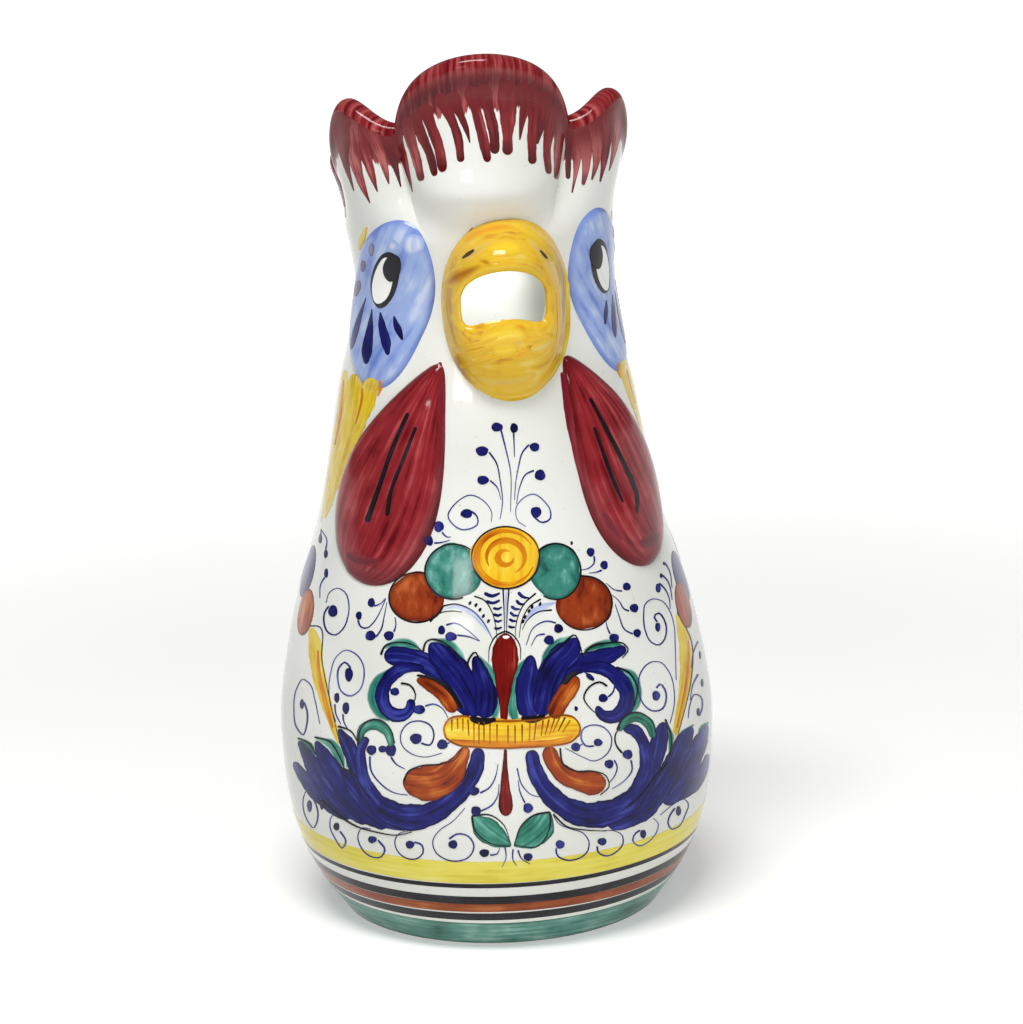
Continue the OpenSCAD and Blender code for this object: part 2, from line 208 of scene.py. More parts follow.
def lean(f, z):
    c = crease(z)
    side = mix(c, SIDE_EDGE, (f - FRONT_EDGE) / (SIDE_EDGE - FRONT_EDGE))
    return np.where(f <= FRONT_EDGE, f * c / FRONT_EDGE, np.where(f < SIDE_EDGE, side, f))


def column(f, z):
    c = crease(z)
    side = mix(FRONT_EDGE, SIDE_EDGE, (f - c) / (SIDE_EDGE - c))
    return np.where(f <= c, f * FRONT_EDGE / c, np.where(f < SIDE_EDGE, side, f))


def comb_angle(a, z):
    turned = lean(fold(a), z)
    return COMB_TURN + np.where((a % 360) <= 180, turned, -turned)


def lip_swell(d, z):
    return LIP_BULGE * np.exp(-(d / LIP_BAND) ** 2) * smooth((z - COLLAR_Z) / LIP_BAND)


def lip_start(a, z):
    return COLLAR_Z + rim_h(column(fold(a - COMB_TURN), z)) - LIP_R


def outer_r(a, z):
    """Radius of the wall, or of the comb and its rounded lip above the collar."""
    a, z = np.broadcast_arrays(np.asarray(a, float), np.asarray(z, float))
    top = lip_start(a, z)
    low = np.minimum(z, top)
    over = np.clip((z - top) / LIP_R, 0, 1)
    comb = comb_r(a, low) + lip_swell(top - low, low) - LIP_R * (1 - np.sqrt(1 - over * over))
    return np.where(z <= COLLAR_Z, wall_r(z), comb)


# Relief pads on the wall: eye patches and wattles, each a domed leaning outline
def pad_outline(pad, u, v):
    m = np.hypot(u, v)
    n = np.where(m == 0, 1, m)
    c, s = u / n, v / n
    x = m * pad["w"] / 2 * power(c, pad["square"]) * (1 + pad["taper"] * s)
    y = m * pad["h"] / 2 * power(s, pad["square"])
    return x, y


def pad_turn(pad, side):
    return math.radians(side * pad["lean"])


def pad_middle(pad, side):
    return side * pad["angle"] + pad["shift"]


def pad_spot(pad, side, u, v):
    x, y = pad_outline(pad, u, v)
    turn = pad_turn(pad, side)
    z = pad["z"] + x * math.sin(turn) + y * math.cos(turn)
    a = pad_middle(pad, side) + np.degrees((x * math.cos(turn) - y * math.sin(turn)) / wall_r(z))
    return a, z


def pad_share(pad, side, a, z):
    """How far out a spot lies in a pad: 0 in its middle, 1 at its edge."""
    turn = pad_turn(pad, side)
    off = (a - pad_middle(pad, side) + 180) % 360 - 180
    sx, sz = np.radians(off) * wall_r(z), z - pad["z"]
    u = 2 * (sx * math.cos(turn) + sz * math.sin(turn)) / pad["w"]
    v = 2 * (sz * math.cos(turn) - sx * math.sin(turn)) / pad["h"]
    e = 2 / pad["square"]
    m = (np.abs(u) ** e + np.abs(v) ** e) ** (1 / e) + EPS
    for _ in range(PAD_PASSES):
        s = np.clip(power(v / m, 1 / pad["square"]), -1, 1)
        m = (np.abs(u / (1 + pad["taper"] * s)) ** e + np.abs(v) ** e) ** (1 / e) + EPS
    return m


def pad_rise(pad, share):
    return pad["t"] * np.maximum(0, 1 - share ** PAD_DOME_SHARE) ** PAD_EDGE_SHARE


PADS = [(pad, side) for pad in (CHEEK, WATTLE) for side in (-1, 1)]


def relief(a, z):
    return np.max([pad_rise(pad, np.minimum(1, pad_share(pad, side, a, z))) for pad, side in PADS], axis=0)


def on_skin(a, z, lift=0):
    return polar(outer_r(a, z) + relief(a, z) + lift, a, z)


# Camera: its place and axes in the pitcher's frame, and the photograph's pixels through it
def camera_axes():
    turn, pitch = math.radians(CAMERA_TURN), math.radians(CAMERA_PITCH)
    roll, yaw = math.radians(CAMERA_ROLL), math.radians(CAMERA_YAW)
    heading = yaw - turn
    flat = math.cos(pitch)
    ahead = np.array([math.sin(heading) * flat, math.cos(heading) * flat, -math.sin(pitch)])
    level = np.cross(ahead, (0, 0, 1))
    level /= np.linalg.norm(level)
    raised = np.cross(level, ahead)
    right = math.cos(roll) * level + math.sin(roll) * raised
    up = math.cos(roll) * raised - math.sin(roll) * level
    eye = np.array([CAMERA_REACH * math.sin(turn), -CAMERA_REACH * math.cos(turn), CAMERA_Z])
    return eye, right, up, ahead


EYE, RIGHT, UP, AHEAD = camera_axes()


def to_pixels(points):
    q = points - EYE
    depth = q @ AHEAD
    across, upward = FOCAL_PX * (q @ RIGHT) / depth, FOCAL_PX * (q @ UP) / depth
    return np.stack([IMAGE_W / 2 + across, IMAGE_H / 2 - upward], -1)


def under_pixels(pixels):
    """Angle and height of the spots of the pitcher's skin that show at these pixels."""
    pixels = np.asarray(pixels, float)
    across = (pixels[:, :1] - IMAGE_W / 2) / FOCAL_PX
    upward = (IMAGE_H / 2 - pixels[:, 1:]) / FOCAL_PX
    rays = AHEAD + across * RIGHT + upward * UP
    rays /= np.linalg.norm(rays, axis=1, keepdims=True)
    middle = math.hypot(CAMERA_REACH, CAMERA_Z)

    def gap(t, skin):
        p = EYE + t[..., None] * rays.reshape((-1,) + (1,) * (t.ndim - 1) + (3,))
        a = np.degrees(np.arctan2(p[..., 0], -p[..., 1]))
        z = np.clip(p[..., 2], 0, COLLAR_Z + FRONT_LOBE_H)
        radius = outer_r(a, z) + (relief(a, z) if skin else 0)
        return np.hypot(p[..., 0], p[..., 1]) - radius, a, z

    steps = np.linspace(middle - RAY_REACH_SHARE * BELLY_R, middle + BELLY_R, RAY_STEPS)
    gaps = gap(np.tile(steps, (len(rays), 1)), False)[0]
    inside = gaps < 0
    first = np.where(inside.any(1), inside.argmax(1), gaps.argmin(1))
    hi = steps[first]
    lo = hi - (steps[1] - steps[0]) - CHEEK["t"] - WATTLE["t"]
    for _ in range(RAY_PASSES):
        mid = (lo + hi) / 2
        outside = gap(mid, True)[0] > 0
        lo, hi = np.where(outside, mid, lo), np.where(outside, hi, mid)
    _, a, z = gap(hi, True)
    return a, z


# Mesh helpers
def quads(rows, cols, closed, base=0):
    wide = cols if closed else cols - 1
    r, c = np.meshgrid(np.arange(rows - 1), np.arange(wide), indexing="ij")
    here, there = r * cols + c, r * cols + (c + 1) % cols
    return (base + np.stack([here, there, there + cols, here + cols], -1)).reshape(-1, 4).tolist()


def closed_skin(outer, inner, closed):
    """Vertices and faces of a thick skin between two grids of points, rows by columns."""
    rows, cols = outer.shape[:2]
    base = rows * cols
    top = np.arange(base).reshape(rows, cols)
    faces = quads(rows, cols, closed) + quads(rows, cols, closed, base)
    rims = [np.append(top[0], top[0, 0]), np.append(top[-1], top[-1, 0])] if closed else [
        np.concatenate([top[0], top[1:, -1], top[-1, -2::-1], top[-2::-1, 0]])]
    for rim in rims:
        faces += np.stack([rim[:-1], rim[1:], rim[1:] + base, rim[:-1] + base], -1).tolist()
    return np.concatenate([outer.reshape(-1, 3), inner.reshape(-1, 3)]), faces


def twice(marks):
    """The same marks for the outer and the inner face of a thick skin."""
    return np.concatenate([marks, marks])


def bridge(a, b):
    """Faces between two closed loops of vertices."""
    return np.stack([a, np.roll(a, -1), np.roll(b, -1), b], -1).tolist()


def make_piece(name, verts, faces, material, stands_for=(), brush=None, marks=None):
    """A mesh piece in metres that rides on the pitcher, with its brush coordinates and per-vertex marks."""
    mesh = bpy.data.meshes.new(name)
    mesh.from_pydata((np.asarray(verts) * MM).tolist(), [], faces)
    shaped = bmesh.new()
    shaped.from_mesh(mesh)
    bmesh.ops.recalc_face_normals(shaped, faces=shaped.faces)
    shaped.to_mesh(mesh)
    shaped.free()
    mesh.polygons.foreach_set("use_smooth", [True] * len(mesh.polygons))
    mesh.set_sharp_from_angle(angle=SHARP_ANGLE)
    if brush is not None:
        corner = np.zeros(len(mesh.loops), int)
        mesh.loops.foreach_get("vertex_index", corner)
        layer = mesh.uv_layers.new(name="brush")
        layer.data.foreach_set("uv", np.asarray(brush, np.float32)[corner].ravel())
    for mark, values in (marks or {}).items():
        field = mesh.attributes.new(mark, "FLOAT", "POINT")
        field.data.foreach_set("value", np.asarray(values, np.float32))
    mesh.materials.append(material)
    piece = bpy.data.objects.new(name, mesh)
    bpy.context.scene.collection.objects.link(piece)
    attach(piece, ROOT)
    if stands_for:
        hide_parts(*stands_for)
    return piece


# Materials
def srgb(r, g, b):
    """Linear colour from 8-bit sRGB values, by the standard curve."""
    def linear(c):
        c /= 255
        return c / 12.92 if c <= 0.04045 else ((c + 0.055) / 1.055) ** 2.4
    return (linear(r), linear(g), linear(b), 1)


WHITE, WHITE_SHADE, SPECK_TONE = srgb(238, 239, 234), srgb(228, 230, 222), srgb(205, 203, 190)
GLAZE_ROUGH, GLAZE_SHEEN = 0.1, 0.24
GLAZE_WAVES, GLAZE_BUMP, GLAZE_DEPTH = 70.0, 0.12, 0.002
CLOUD_SCALE, CLOUD_BAND = 22.0, (0.35, 0.7)
SPECK_SCALE, SPECK_BAND = 900.0, (0.74, 0.8)


class Shader:
    """A node material with a glossy glaze, built up socket by socket."""

    def __init__(self, name):
        self.material = bpy.data.materials.new(name)
        self.material.use_nodes = True
        self.tree = self.material.node_tree
        self.glaze = self.tree.nodes["Principled BSDF"]
        self.glaze.inputs["Roughness"].default_value = GLAZE_ROUGH
        self.glaze.inputs["Specular IOR Level"].default_value = GLAZE_SHEEN

    def add(self, kind, inputs=None, **settings):
        node = self.tree.nodes.new(kind)
        for key, value in settings.items():
            setattr(node, key, value)
        for key, value in (inputs or {}).items():
            if isinstance(value, bpy.types.NodeSocket):
                self.tree.links.new(value, node.inputs[key])
            else:
                node.inputs[key].default_value = value
        return node

    def math(self, operation, a, b=0.0):
        return self.add("ShaderNodeMath", {0: a, 1: b}, operation=operation).outputs[0]

    def fade(self, value, low, high, to_low=0.0, to_high=1.0):
        node = self.add("ShaderNodeMapRange", {"Value": value, "From Min": low, "From Max": high,
                                               "To Min": to_low, "To Max": to_high},
                        interpolation_type="SMOOTHSTEP")
        return node.outputs["Result"]

    def noise(self, vector, scale, detail=2.0, rough=0.5):
        node = self.add("ShaderNodeTexNoise", {"Vector": vector, "Scale": scale, "Detail": detail,
                                               "Roughness": rough})
        return node.outputs["Fac"]

    def blend(self, factor, a, b):
        node = self.add("ShaderNodeMix", {0: factor, 6: a, 7: b}, data_type="RGBA")
        return node.outputs[2]

    def stretched(self, vector, scale, shift=None):
        node = self.add("ShaderNodeMapping", {"Vector": vector, "Scale": scale})
        if shift is not None:
            self.tree.links.new(shift, node.inputs["Location"])
        return node.outputs["Vector"]

    def place(self):
        return self.add("ShaderNodeTexCoord").outputs["Object"]

    def brush(self):
        return self.add("ShaderNodeUVMap", uv_map="brush").outputs["UV"]

    def mark(self, name):
        return self.add("ShaderNodeAttribute", attribute_name=name).outputs["Fac"]

    def finish(self, colour):
        """Colour into the glaze, and the faint waviness of a hand-dipped glaze as bump."""
        self.tree.links.new(colour, self.glaze.inputs["Base Color"])
        waves = self.noise(self.place(), GLAZE_WAVES, 1.0)
        bump = self.add("ShaderNodeBump", {"Height": waves, "Strength": GLAZE_BUMP, "Distance": GLAZE_DEPTH})
        self.tree.links.new(bump.outputs["Normal"], self.glaze.inputs["Normal"])
        return self.material


def clouded_white(shader):
    """The white of the glaze, with faint clouds and specks."""
    place = shader.place()
    cloud = shader.fade(shader.noise(place, CLOUD_SCALE, 3.0), *CLOUD_BAND)
    speck = shader.fade(shader.noise(place, SPECK_SCALE, 1.0), *SPECK_BAND)
    return shader.blend(speck, shader.blend(cloud, WHITE, WHITE_SHADE), SPECK_TONE)


def white_glaze():
    shader = Shader("white_glaze")
    return shader.finish(clouded_white(shader))


# Brushed paint: stretch of its clouds, noise at its three tones, and how it pools at edges and tips
PAINT_CLOUDS = (0.12, 0.16, 1)
PAINT_ROUGH = 0.55
OWN_TONE_STEP = 3.7
TONE_DEEP, TONE_MIDDLE, TONE_PALE = 0.35, 0.5, 0.66
POOL_FULL, POOL_SHARE = 0.05, 0.75
TIP_FULL_SHARE, TIP_SHARE = 0.2, 0.7


def paint(name, deep, middle, pale, edge=0.5, soft=0.0, ground=WHITE, start=0.0, tip=0.0, vary=0.0,
          streak=(0.05, 0.8), wash=0.55):
    """Brushed colour in streaks, darker where it pools at edge and tip, and fading to the ground if soft."""
    shader = Shader(name)
    strokes = shader.brush()
    number = shader.mark("seed")
    seed = shader.add("ShaderNodeCombineXYZ", {"X": number, "Y": number}).outputs[0]
    streaks = shader.noise(shader.stretched(strokes, (*streak, 1), seed), 1.0, 3.0, PAINT_ROUGH)
    clouds = shader.noise(shader.stretched(strokes, PAINT_CLOUDS, seed), 1.0, 2.0)
    tone = shader.math("ADD", shader.math("MULTIPLY", streaks, wash), shader.math("MULTIPLY", clouds, 1 - wash))
    if vary:
        own = shader.math("FRACT", shader.math("MULTIPLY", number, OWN_TONE_STEP))
        tone = shader.math("ADD", tone, shader.math("MULTIPLY", shader.math("SUBTRACT", own, 0.5), vary))
    light = shader.fade(tone, TONE_MIDDLE, TONE_PALE)
    dark = shader.fade(tone, TONE_MIDDLE, TONE_DEEP)
    colour = shader.blend(dark, shader.blend(light, middle, pale), deep)
    rim = shader.mark("edge")
    if edge:
        pooled = shader.math("MULTIPLY", shader.fade(rim, edge, POOL_FULL), POOL_SHARE)
        colour = shader.blend(pooled, colour, deep)
    if tip:
        heavy = shader.fade(shader.mark("tip"), tip, TIP_FULL_SHARE * tip)
        colour = shader.blend(shader.math("MULTIPLY", heavy, TIP_SHARE), colour, deep)
    if start:
        along = shader.add("ShaderNodeSeparateXYZ", {0: strokes}).outputs[0]
        colour = shader.blend(shader.fade(along, start, 0.0), colour, ground)
    if soft:
        colour = shader.blend(shader.fade(rim, soft, 0.0), colour, ground)
    return shader.finish(colour)


GLAZE = white_glaze()


# Painting tools: thin closed pads of enamel on the skin, gathered into one piece for each motif and colour
STEP_PX = 4.0
CELL = 1.2
PROBE, SHARE_PROBE = 0.3, 0.002
DAMP = 0.25
CAP_ANGLES = np.radians([12, 34, 60])
DOT_CELLS, DISC_CELLS = 8, 22
LARGE_PX = 12
DAB_GRAIN_SHARE = 0.5
DAB_WAVY_SHARE = 0.04
FAR = 99.0
CAP_FIT_SHARE, THINNEST_SHARE = 0.9, 0.05
SLOW_WOBBLE_SHARE, SLOW_PACE = 0.05, 0.9
FAST_WOBBLE_SHARE, FAST_PACE = 0.03, 2.3
FEWEST_STOPS, FEWEST_LANES, MOST_LANES = 3, 3, 17
END_EDGE = 0.05
BAND_WAVER, BAND_WAVES, BAND_ROWS = 0.12, (1, 2, 5), 6
HAIR_PX, SPRIG_PX, THIN_PX, OUTLINE_PX = 0.8, 0.95, 1.0, 1.1
TAIL_SHARE = 0.35

# Coats of paint from the skin up, and how far each stroke's own coat and pattern stray
FIRST, SECOND, THIRD, FOURTH, FIFTH, SIXTH = range(1, 7)
HALF_COAT = 0.5
COAT_JITTER, SEEDS, PHASES = 0.3, 50, 6
SHEET_KEYS = ("verts", "faces", "brush", "edge", "tip", "seed")
canvas = {}
draws = np.random.default_rng(7)


def phase():
    return draws.uniform(0, PHASES)


def coat_lift(coat):
    """Height of a coat over the skin, a little different for each stroke."""
    return (coat + draws.uniform(0, COAT_JITTER)) * COAT


def gather(motif, colour, outer, inner, strokes, edge, tip=FAR, closed=False):
    """Adds one pad between two grids of points to the piece of its motif and colour."""
    sheet = canvas.setdefault((motif, colour), {key: [] for key in SHEET_KEYS})
    base = sum(len(v) for v in sheet["verts"])
    verts, faces = closed_skin(outer, inner, closed)
    sheet["verts"].append(verts)
    sheet["faces"] += [[base + k for k in face] for face in faces]
    for key, grid in (("brush", strokes), ("edge", edge[..., None]), ("tip", (tip + 0 * edge)[..., None])):
        sheet[key].append(twice(grid.reshape(-1, grid.shape[-1])))
    sheet["seed"].append(np.full(len(verts), draws.uniform(0, SEEDS)))


def lay(motif, colour, a, z, strokes, edge, coat, tip=FAR, closed=False):
    """Lays a pad on the skin, given as a grid of angles and heights, no higher than the lip."""
    lift = coat_lift(coat)
    z = np.minimum(z, lip_start(a, z))
    gather(motif, colour, on_skin(a, z, lift), on_skin(a, z, -SINK), strokes, edge, tip, closed)


def curve(points, stops):
    """Samples of a smooth curve through the points, at the lengths that stops gives for its whole length."""
    points = np.asarray(points, float)
    spans = np.maximum(np.linalg.norm(np.diff(points[:, :2], axis=0), axis=1), SHORT)
    knots = np.concatenate([[0], np.cumsum(spans)])
    grades = np.diff(points, axis=0) / spans[:, None]
    after, before = spans[1:, None], spans[:-1, None]
    inner = (after * grades[:-1] + before * grades[1:]) / (after + before)
    slopes = np.concatenate([grades[:1], inner, grades[-1:]])
    at = stops(knots[-1])
    k = np.clip(np.searchsorted(knots, at, side="right") - 1, 0, len(spans) - 1)
    t = ((at - knots[k]) / spans[k])[:, None]
    ends = mix(points[k], points[k + 1], t * t * (3 - 2 * t))
    return ends + spans[k][:, None] * t * (1 - t) * ((1 - t) * slopes[k] - t * slopes[k + 1])


def stroke_shape(points, step):
    """Samples along a stroke, the directions to its side, and its half widths without and with round ends."""
    start, end = float(points[0][2]), float(points[-1][2])
    caps, narrow = 1 - np.cos(CAP_ANGLES), np.sin(CAP_ANGLES)

    def stops(length):
        fit = min(1, CAP_FIT_SHARE * length / max(start + end, SHORT))
        head, tail = start * fit, end * fit
        count = max(FEWEST_STOPS, int((length - head - tail) / step) + 2)
        body = np.linspace(head, length - tail, count)
        return np.concatenate([head * caps, body, length - tail * caps[::-1]])

    samples = curve(points, stops)
    run = np.gradient(samples[:, :2], axis=0)
    run /= np.maximum(np.linalg.norm(run, axis=1, keepdims=True), EPS)
    side = np.stack([-run[:, 1], run[:, 0]], -1)
    full = np.maximum(samples[:, 2], THINNEST_SHARE * step)
    count = np.arange(len(samples))
    slow = SLOW_WOBBLE_SHARE * np.sin(count * SLOW_PACE + phase())
    half = full * (1 + slow + FAST_WOBBLE_SHARE * np.sin(count * FAST_PACE))
    half[:len(narrow)] *= narrow
    half[-len(narrow):] *= narrow[::-1]
    return samples, side, full, half


def ribbon_marks(spans, v, full, half):
    """Lengths along a ribbon, and at each of its points the brush coordinates and the way to its edge."""
    along = np.concatenate([[0], np.cumsum(spans)])
    ends = np.minimum(along, along[-1] - along) + END_EDGE
    edge = np.minimum((1 - np.abs(v))[None, :] * full[:, None], ends[:, None])
    strokes = np.stack(np.broadcast_arrays(along[:, None], half[:, None] * v[None, :]), -1)
    return along, strokes, edge


def lay_ribbon(motif, colour, a, z, off, widen, coat):
    """Lays a ribbon along angles and heights, with its half width as an offset in both."""
    half = np.hypot(np.radians(off[:, 0]) * outer_r(a, z), off[:, 1])
    lanes = np.clip(np.ceil(2 * half.max() / CELL) + 1, FEWEST_LANES, MOST_LANES)
    v = np.linspace(-1, 1, int(lanes))
    spans = np.linalg.norm(np.diff(on_skin(a, z), axis=0), axis=1)
    along, strokes, edge = ribbon_marks(spans, v, half * widen, half)
    wide_a, wide_z = a[:, None] + off[:, :1] * v, z[:, None] + off[:, 1:] * v
    lay(motif, colour, wide_a, wide_z, strokes, edge, coat, (along[-1] - along)[:, None])


def pixel_pull(a, z):
    """For each spot, the change of angle and height that moves it one pixel across or down the photograph."""
    by_a = to_pixels(on_skin(a + PROBE, z)) - to_pixels(on_skin(a - PROBE, z))
    by_z = to_pixels(on_skin(a, z + PROBE)) - to_pixels(on_skin(a, z - PROBE))
    jacobian = np.stack([by_a, by_z], -1) / (2 * PROBE)
    across = np.swapaxes(jacobian, -1, -2)
    return across @ np.linalg.inv(jacobian @ across + DAMP * np.eye(2))


def brush(motif, colour, points, coat=FIRST, flip=None):
    """A brush stroke along pixels of the photograph, each x, y and half width, or its mirror image."""
    samples, side, full, half = stroke_shape(points, STEP_PX)
    a, z = under_pixels(samples[:, :2])
    off = (pixel_pull(a, z) @ (side * half[:, None])[..., None])[..., 0]
    if flip is not None:
        a, off = 2 * flip - a, off * (1, -1)
    lay_ribbon(motif, colour, a, z, off, full / half, coat)


def surface_brush(motif, colour, points, coat):
    """A brush stroke along angles and heights, with its half width in millimetres."""
    r = float(outer_r(points[0][0], points[0][1]))
    flat = [(math.radians(a) * r, z, half) for a, z, half in points]
    samples, side, full, half = stroke_shape(flat, STEP_PX * PIXEL)
    off = np.stack([np.degrees(side[:, 0] * half / r), side[:, 1] * half], -1)
    lay_ribbon(motif, colour, np.degrees(samples[:, 0] / r), samples[:, 1], off, full / half, coat)


def disc_grid(cells):
    steps = np.linspace(-1, 1, cells + 1)
    u, v = np.meshgrid(steps, steps)
    reach = np.maximum(np.abs(u), np.abs(v)) / np.maximum(np.hypot(u, v), EPS)
    return u * reach, v * reach


def dab(motif, colour, x, y, rx, ry, turn=0, coat=FIRST, wavy=DAB_WAVY_SHARE, flip=None):
    """An oval dab at a pixel of the photograph, with radii in pixels and a clockwise turn, or mirrored."""
    large = max(rx, ry) > LARGE_PX
    u, v = disc_grid(DISC_CELLS if large else DOT_CELLS)
    angle, share = np.arctan2(v, u), np.hypot(u, v)
    ripple = 1 + wavy * np.sin(3 * angle + phase()) + wavy / 2 * np.sin(5 * angle + phase())
    c, s = math.cos(math.radians(turn)), math.sin(math.radians(turn))
    dx = (u * rx * c - v * ry * s) * ripple
    dy = (u * rx * s + v * ry * c) * ripple
    if large:
        a, z = under_pixels(np.stack([x + dx.ravel(), y + dy.ravel()], -1))
        a, z = a.reshape(u.shape), z.reshape(u.shape)
    else:
        a0, z0 = under_pixels([(x, y)])
        pull = pixel_pull(a0, z0)[0]
        a = a0 + pull[0, 0] * dx + pull[0, 1] * dy
        z = z0 + pull[1, 0] * dx + pull[1, 1] * dy
    if flip is not None:
        a, z = 2 * flip - a[:, ::-1], z[:, ::-1]
    strokes = np.stack([PIXEL * dy, PIXEL * dx], -1) * DAB_GRAIN_SHARE
    lay(motif, colour, a, z, strokes, (1 - share) * PIXEL * min(rx, ry), coat)


def spot(motif, colour, x, y, radius, coat):
    """A round spot on the skin, with its middle at a pixel of the photograph and its radius in millimetres."""
    u, v = disc_grid(DISC_CELLS)
    a, z = under_pixels([(x, y)])
    strokes = np.stack([v, u], -1) * radius * DAB_GRAIN_SHARE
    turn = np.degrees(u * radius / outer_r(a, z))
    lay(motif, colour, a + turn, z - v * radius, strokes, (1 - np.hypot(u, v)) * radius, coat)


def line(motif, colour, points, half=HAIR_PX, coat=THIRD, tail_share=TAIL_SHARE):
    """A thin line along pixels of the photograph, thinning towards its end."""
    last = len(points) - 1
    thin = [(x, y, half * mix(1, tail_share, k / last)) for k, (x, y) in enumerate(points)]
    brush(motif, colour, thin, coat)


def brush_all(motif, colour, rows, coat):
    for points in rows:
        brush(motif, colour, points, coat)


def line_all(motif, colour, rows, half, coat):
    for points in rows:
        line(motif, colour, points, half, coat)


def sprig_all(motif, rows):
    """Round buds with their stems."""
    for dot, points in rows:
        line(motif, "ink", points, SPRIG_PX)
        dab(motif, "navy", *dot, coat=FOURTH)


def band(motif, colour, low, high):
    """A painted ring round the foot, between two heights that waver a little."""
    a = np.arange(TURN_STEPS) * 360 / TURN_STEPS
    drift = sum(np.sin(np.radians(a * k) + phase()) / k for k in BAND_WAVES) * BAND_WAVER
    share = np.linspace(0, 1, BAND_ROWS)[:, None]
    z = mix(low + drift, high + drift, share)
    a = np.broadcast_to(a, z.shape)
    strokes = np.stack([FOOT_R * np.sin(np.radians(a)), z], -1)
    edge = np.minimum(share, 1 - share) * (high - low) + 0 * a
    lay(motif, colour, a, z, strokes, edge, FIRST, closed=True)


def hang_painting(turned):
    """Makes the gathered pieces, and a second copy at the back for the motifs that go round the pitcher."""
    for (motif, colour), sheet in canvas.items():
        verts = np.concatenate(sheet["verts"])
        marks = {key: np.concatenate(sheet[key]).ravel() for key in ("edge", "tip", "seed")}
        strokes = np.concatenate(sheet["brush"])
        copies = [("", (1, 1, 1)), ("_back", (-1, -1, 1))] if motif in turned else [("", (1, 1, 1))]
        for end, facing in copies:
            make_piece(motif + "_" + colour + end, verts * facing, sheet["faces"], PAINTS[colour],
                       brush=strokes, marks=marks)


# Colours of the painting: deep, middle and pale tone, and how the paint differs from the plain one
PATCH_BLUE = srgb(150, 172, 222)
BEAK_GROUND = srgb(230, 186, 46)
TONES = {
    "navy": ((10, 10, 56), (22, 24, 98), (50, 56, 140), {"edge": 0.3}),
    "ink": ((22, 24, 84), (40, 44, 122), (92, 98, 164), {"edge": 0}),
    "amber": ((176, 84, 4), (214, 128, 12), (232, 168, 30), {"edge": 0}),
    "brown": ((96, 44, 4), (150, 80, 10), (196, 120, 20), {"edge": 0}),
    "cobalt": ((6, 6, 50), (22, 23, 106), (60, 70, 162), {"edge": 0.9}),
    "green": ((14, 80, 68), (52, 132, 114), (120, 186, 172), {"edge": 0, "soft": 0.9}),
    "leaf": ((12, 66, 54), (48, 128, 108), (112, 182, 164), {"edge": 0.9}),
    "jade": ((22, 80, 70), (58, 132, 118), (116, 180, 168), {"edge": 1.6, "streak": (0.5, 0.7)}),
    "russet": ((96, 26, 10), (150, 58, 22), (196, 104, 52), {"edge": 1.8, "streak": (0.3, 0.7)}),
    "rust": ((92, 26, 8), (160, 64, 18), (212, 122, 46), {"edge": 1.0}),
    "gold": ((222, 150, 20), (240, 196, 40), (250, 226, 92), {"edge": 0.8}),
    "red": ((66, 3, 2), (120, 14, 8), (168, 60, 40), {"edge": 0.9}),
    "black": ((10, 8, 12), (20, 18, 24), (48, 46, 56), {"edge": 0}),
    "hackle": ((206, 160, 10), (228, 198, 42), (242, 222, 100), {"edge": 0.15}),
    "haze": ((120, 136, 196), (164, 178, 220), (206, 214, 234), {"edge": 0, "soft": 0.5}),
    "grey": ((78, 76, 104), (104, 102, 132), (140, 138, 164), {"edge": 0.2}),
    "comb": ((80, 4, 10), (134, 28, 34), (182, 98, 96), {"edge": 0.2, "tip": 5.0, "vary": 0.34, "start":
     14.0, "ground": srgb(112, 14, 22)}),
    "eye": ((236, 238, 234), (248, 248, 244), (252, 252, 248), {"edge": 0}),
    "lemon": ((222, 206, 70), (236, 222, 92), (242, 232, 126), {"edge": 0.4}),
    "clay": ((120, 46, 8), (152, 68, 18), (184, 104, 48), {"edge": 0.4}),
    # Pale blue dabs of painted highlight on the eye patches
    "mist": ((176, 190, 226), (206, 214, 234), (224, 228, 238), {"edge": 0, "soft": 1.6, "ground":
     PATCH_BLUE}),
    "shade": ((60, 6, 16), (92, 14, 26), (112, 26, 36), {"edge": 0, "soft": 1.6, "ground":
     srgb(128, 30, 42)}),
    "straw": ((208, 172, 88), (220, 192, 116), (230, 208, 146), {"edge": 0, "soft": 2.4, "ground":
     BEAK_GROUND}),
    "sun": ((236, 190, 34), (242, 206, 56), (248, 220, 96), {"edge": 0, "soft": 2.4, "ground":
     BEAK_GROUND}),
    "ochre": ((172, 108, 20), (196, 136, 34), (212, 160, 48), {"edge": 0, "soft": 2.0, "ground":
     BEAK_GROUND}),
    "tan": ((210, 108, 16), (226, 138, 30), (236, 168, 52), {"edge": 0, "soft": 1.8, "ground":
     BEAK_GROUND}),
    "smudge": ((142, 74, 8), (168, 98, 16), (190, 126, 32), {"edge": 0, "soft": 1.2, "ground":
     BEAK_GROUND}),
    "nostril": ((44, 36, 16), (74, 62, 26), (104, 90, 44), {"edge": 0}),
    "sea": ((42, 94, 80), (92, 146, 132), (152, 192, 180), {"edge": 0.6}),
}
PAINTS = {name: paint(name, *(srgb(*tone) for tone in tones), **look)
          for name, (*tones, look) in TONES.items()}


def arc(x, y, rx, ry, start, end, count):
    """Points of an oval arc in the photograph, clockwise from the right."""
    angles = np.radians(np.linspace(start, end, count))
    return [(x + rx * math.cos(t), y + ry * math.sin(t)) for t in angles]


# Foot: rings of colour, as low edge, high edge and colour
FOOT_BANDS = [
    (0.7, 8.5, "sea"), (9.7, 12.3, "black"), (12.5, 15.4, "clay"), (15.6, 18.2, "black"),
    (20.9, 22.3, "black"), (22.6, 29.6, "lemon"),
]


def paint_foot():
    for low, high, colour in FOOT_BANDS:
        band("foot", colour, low, high)


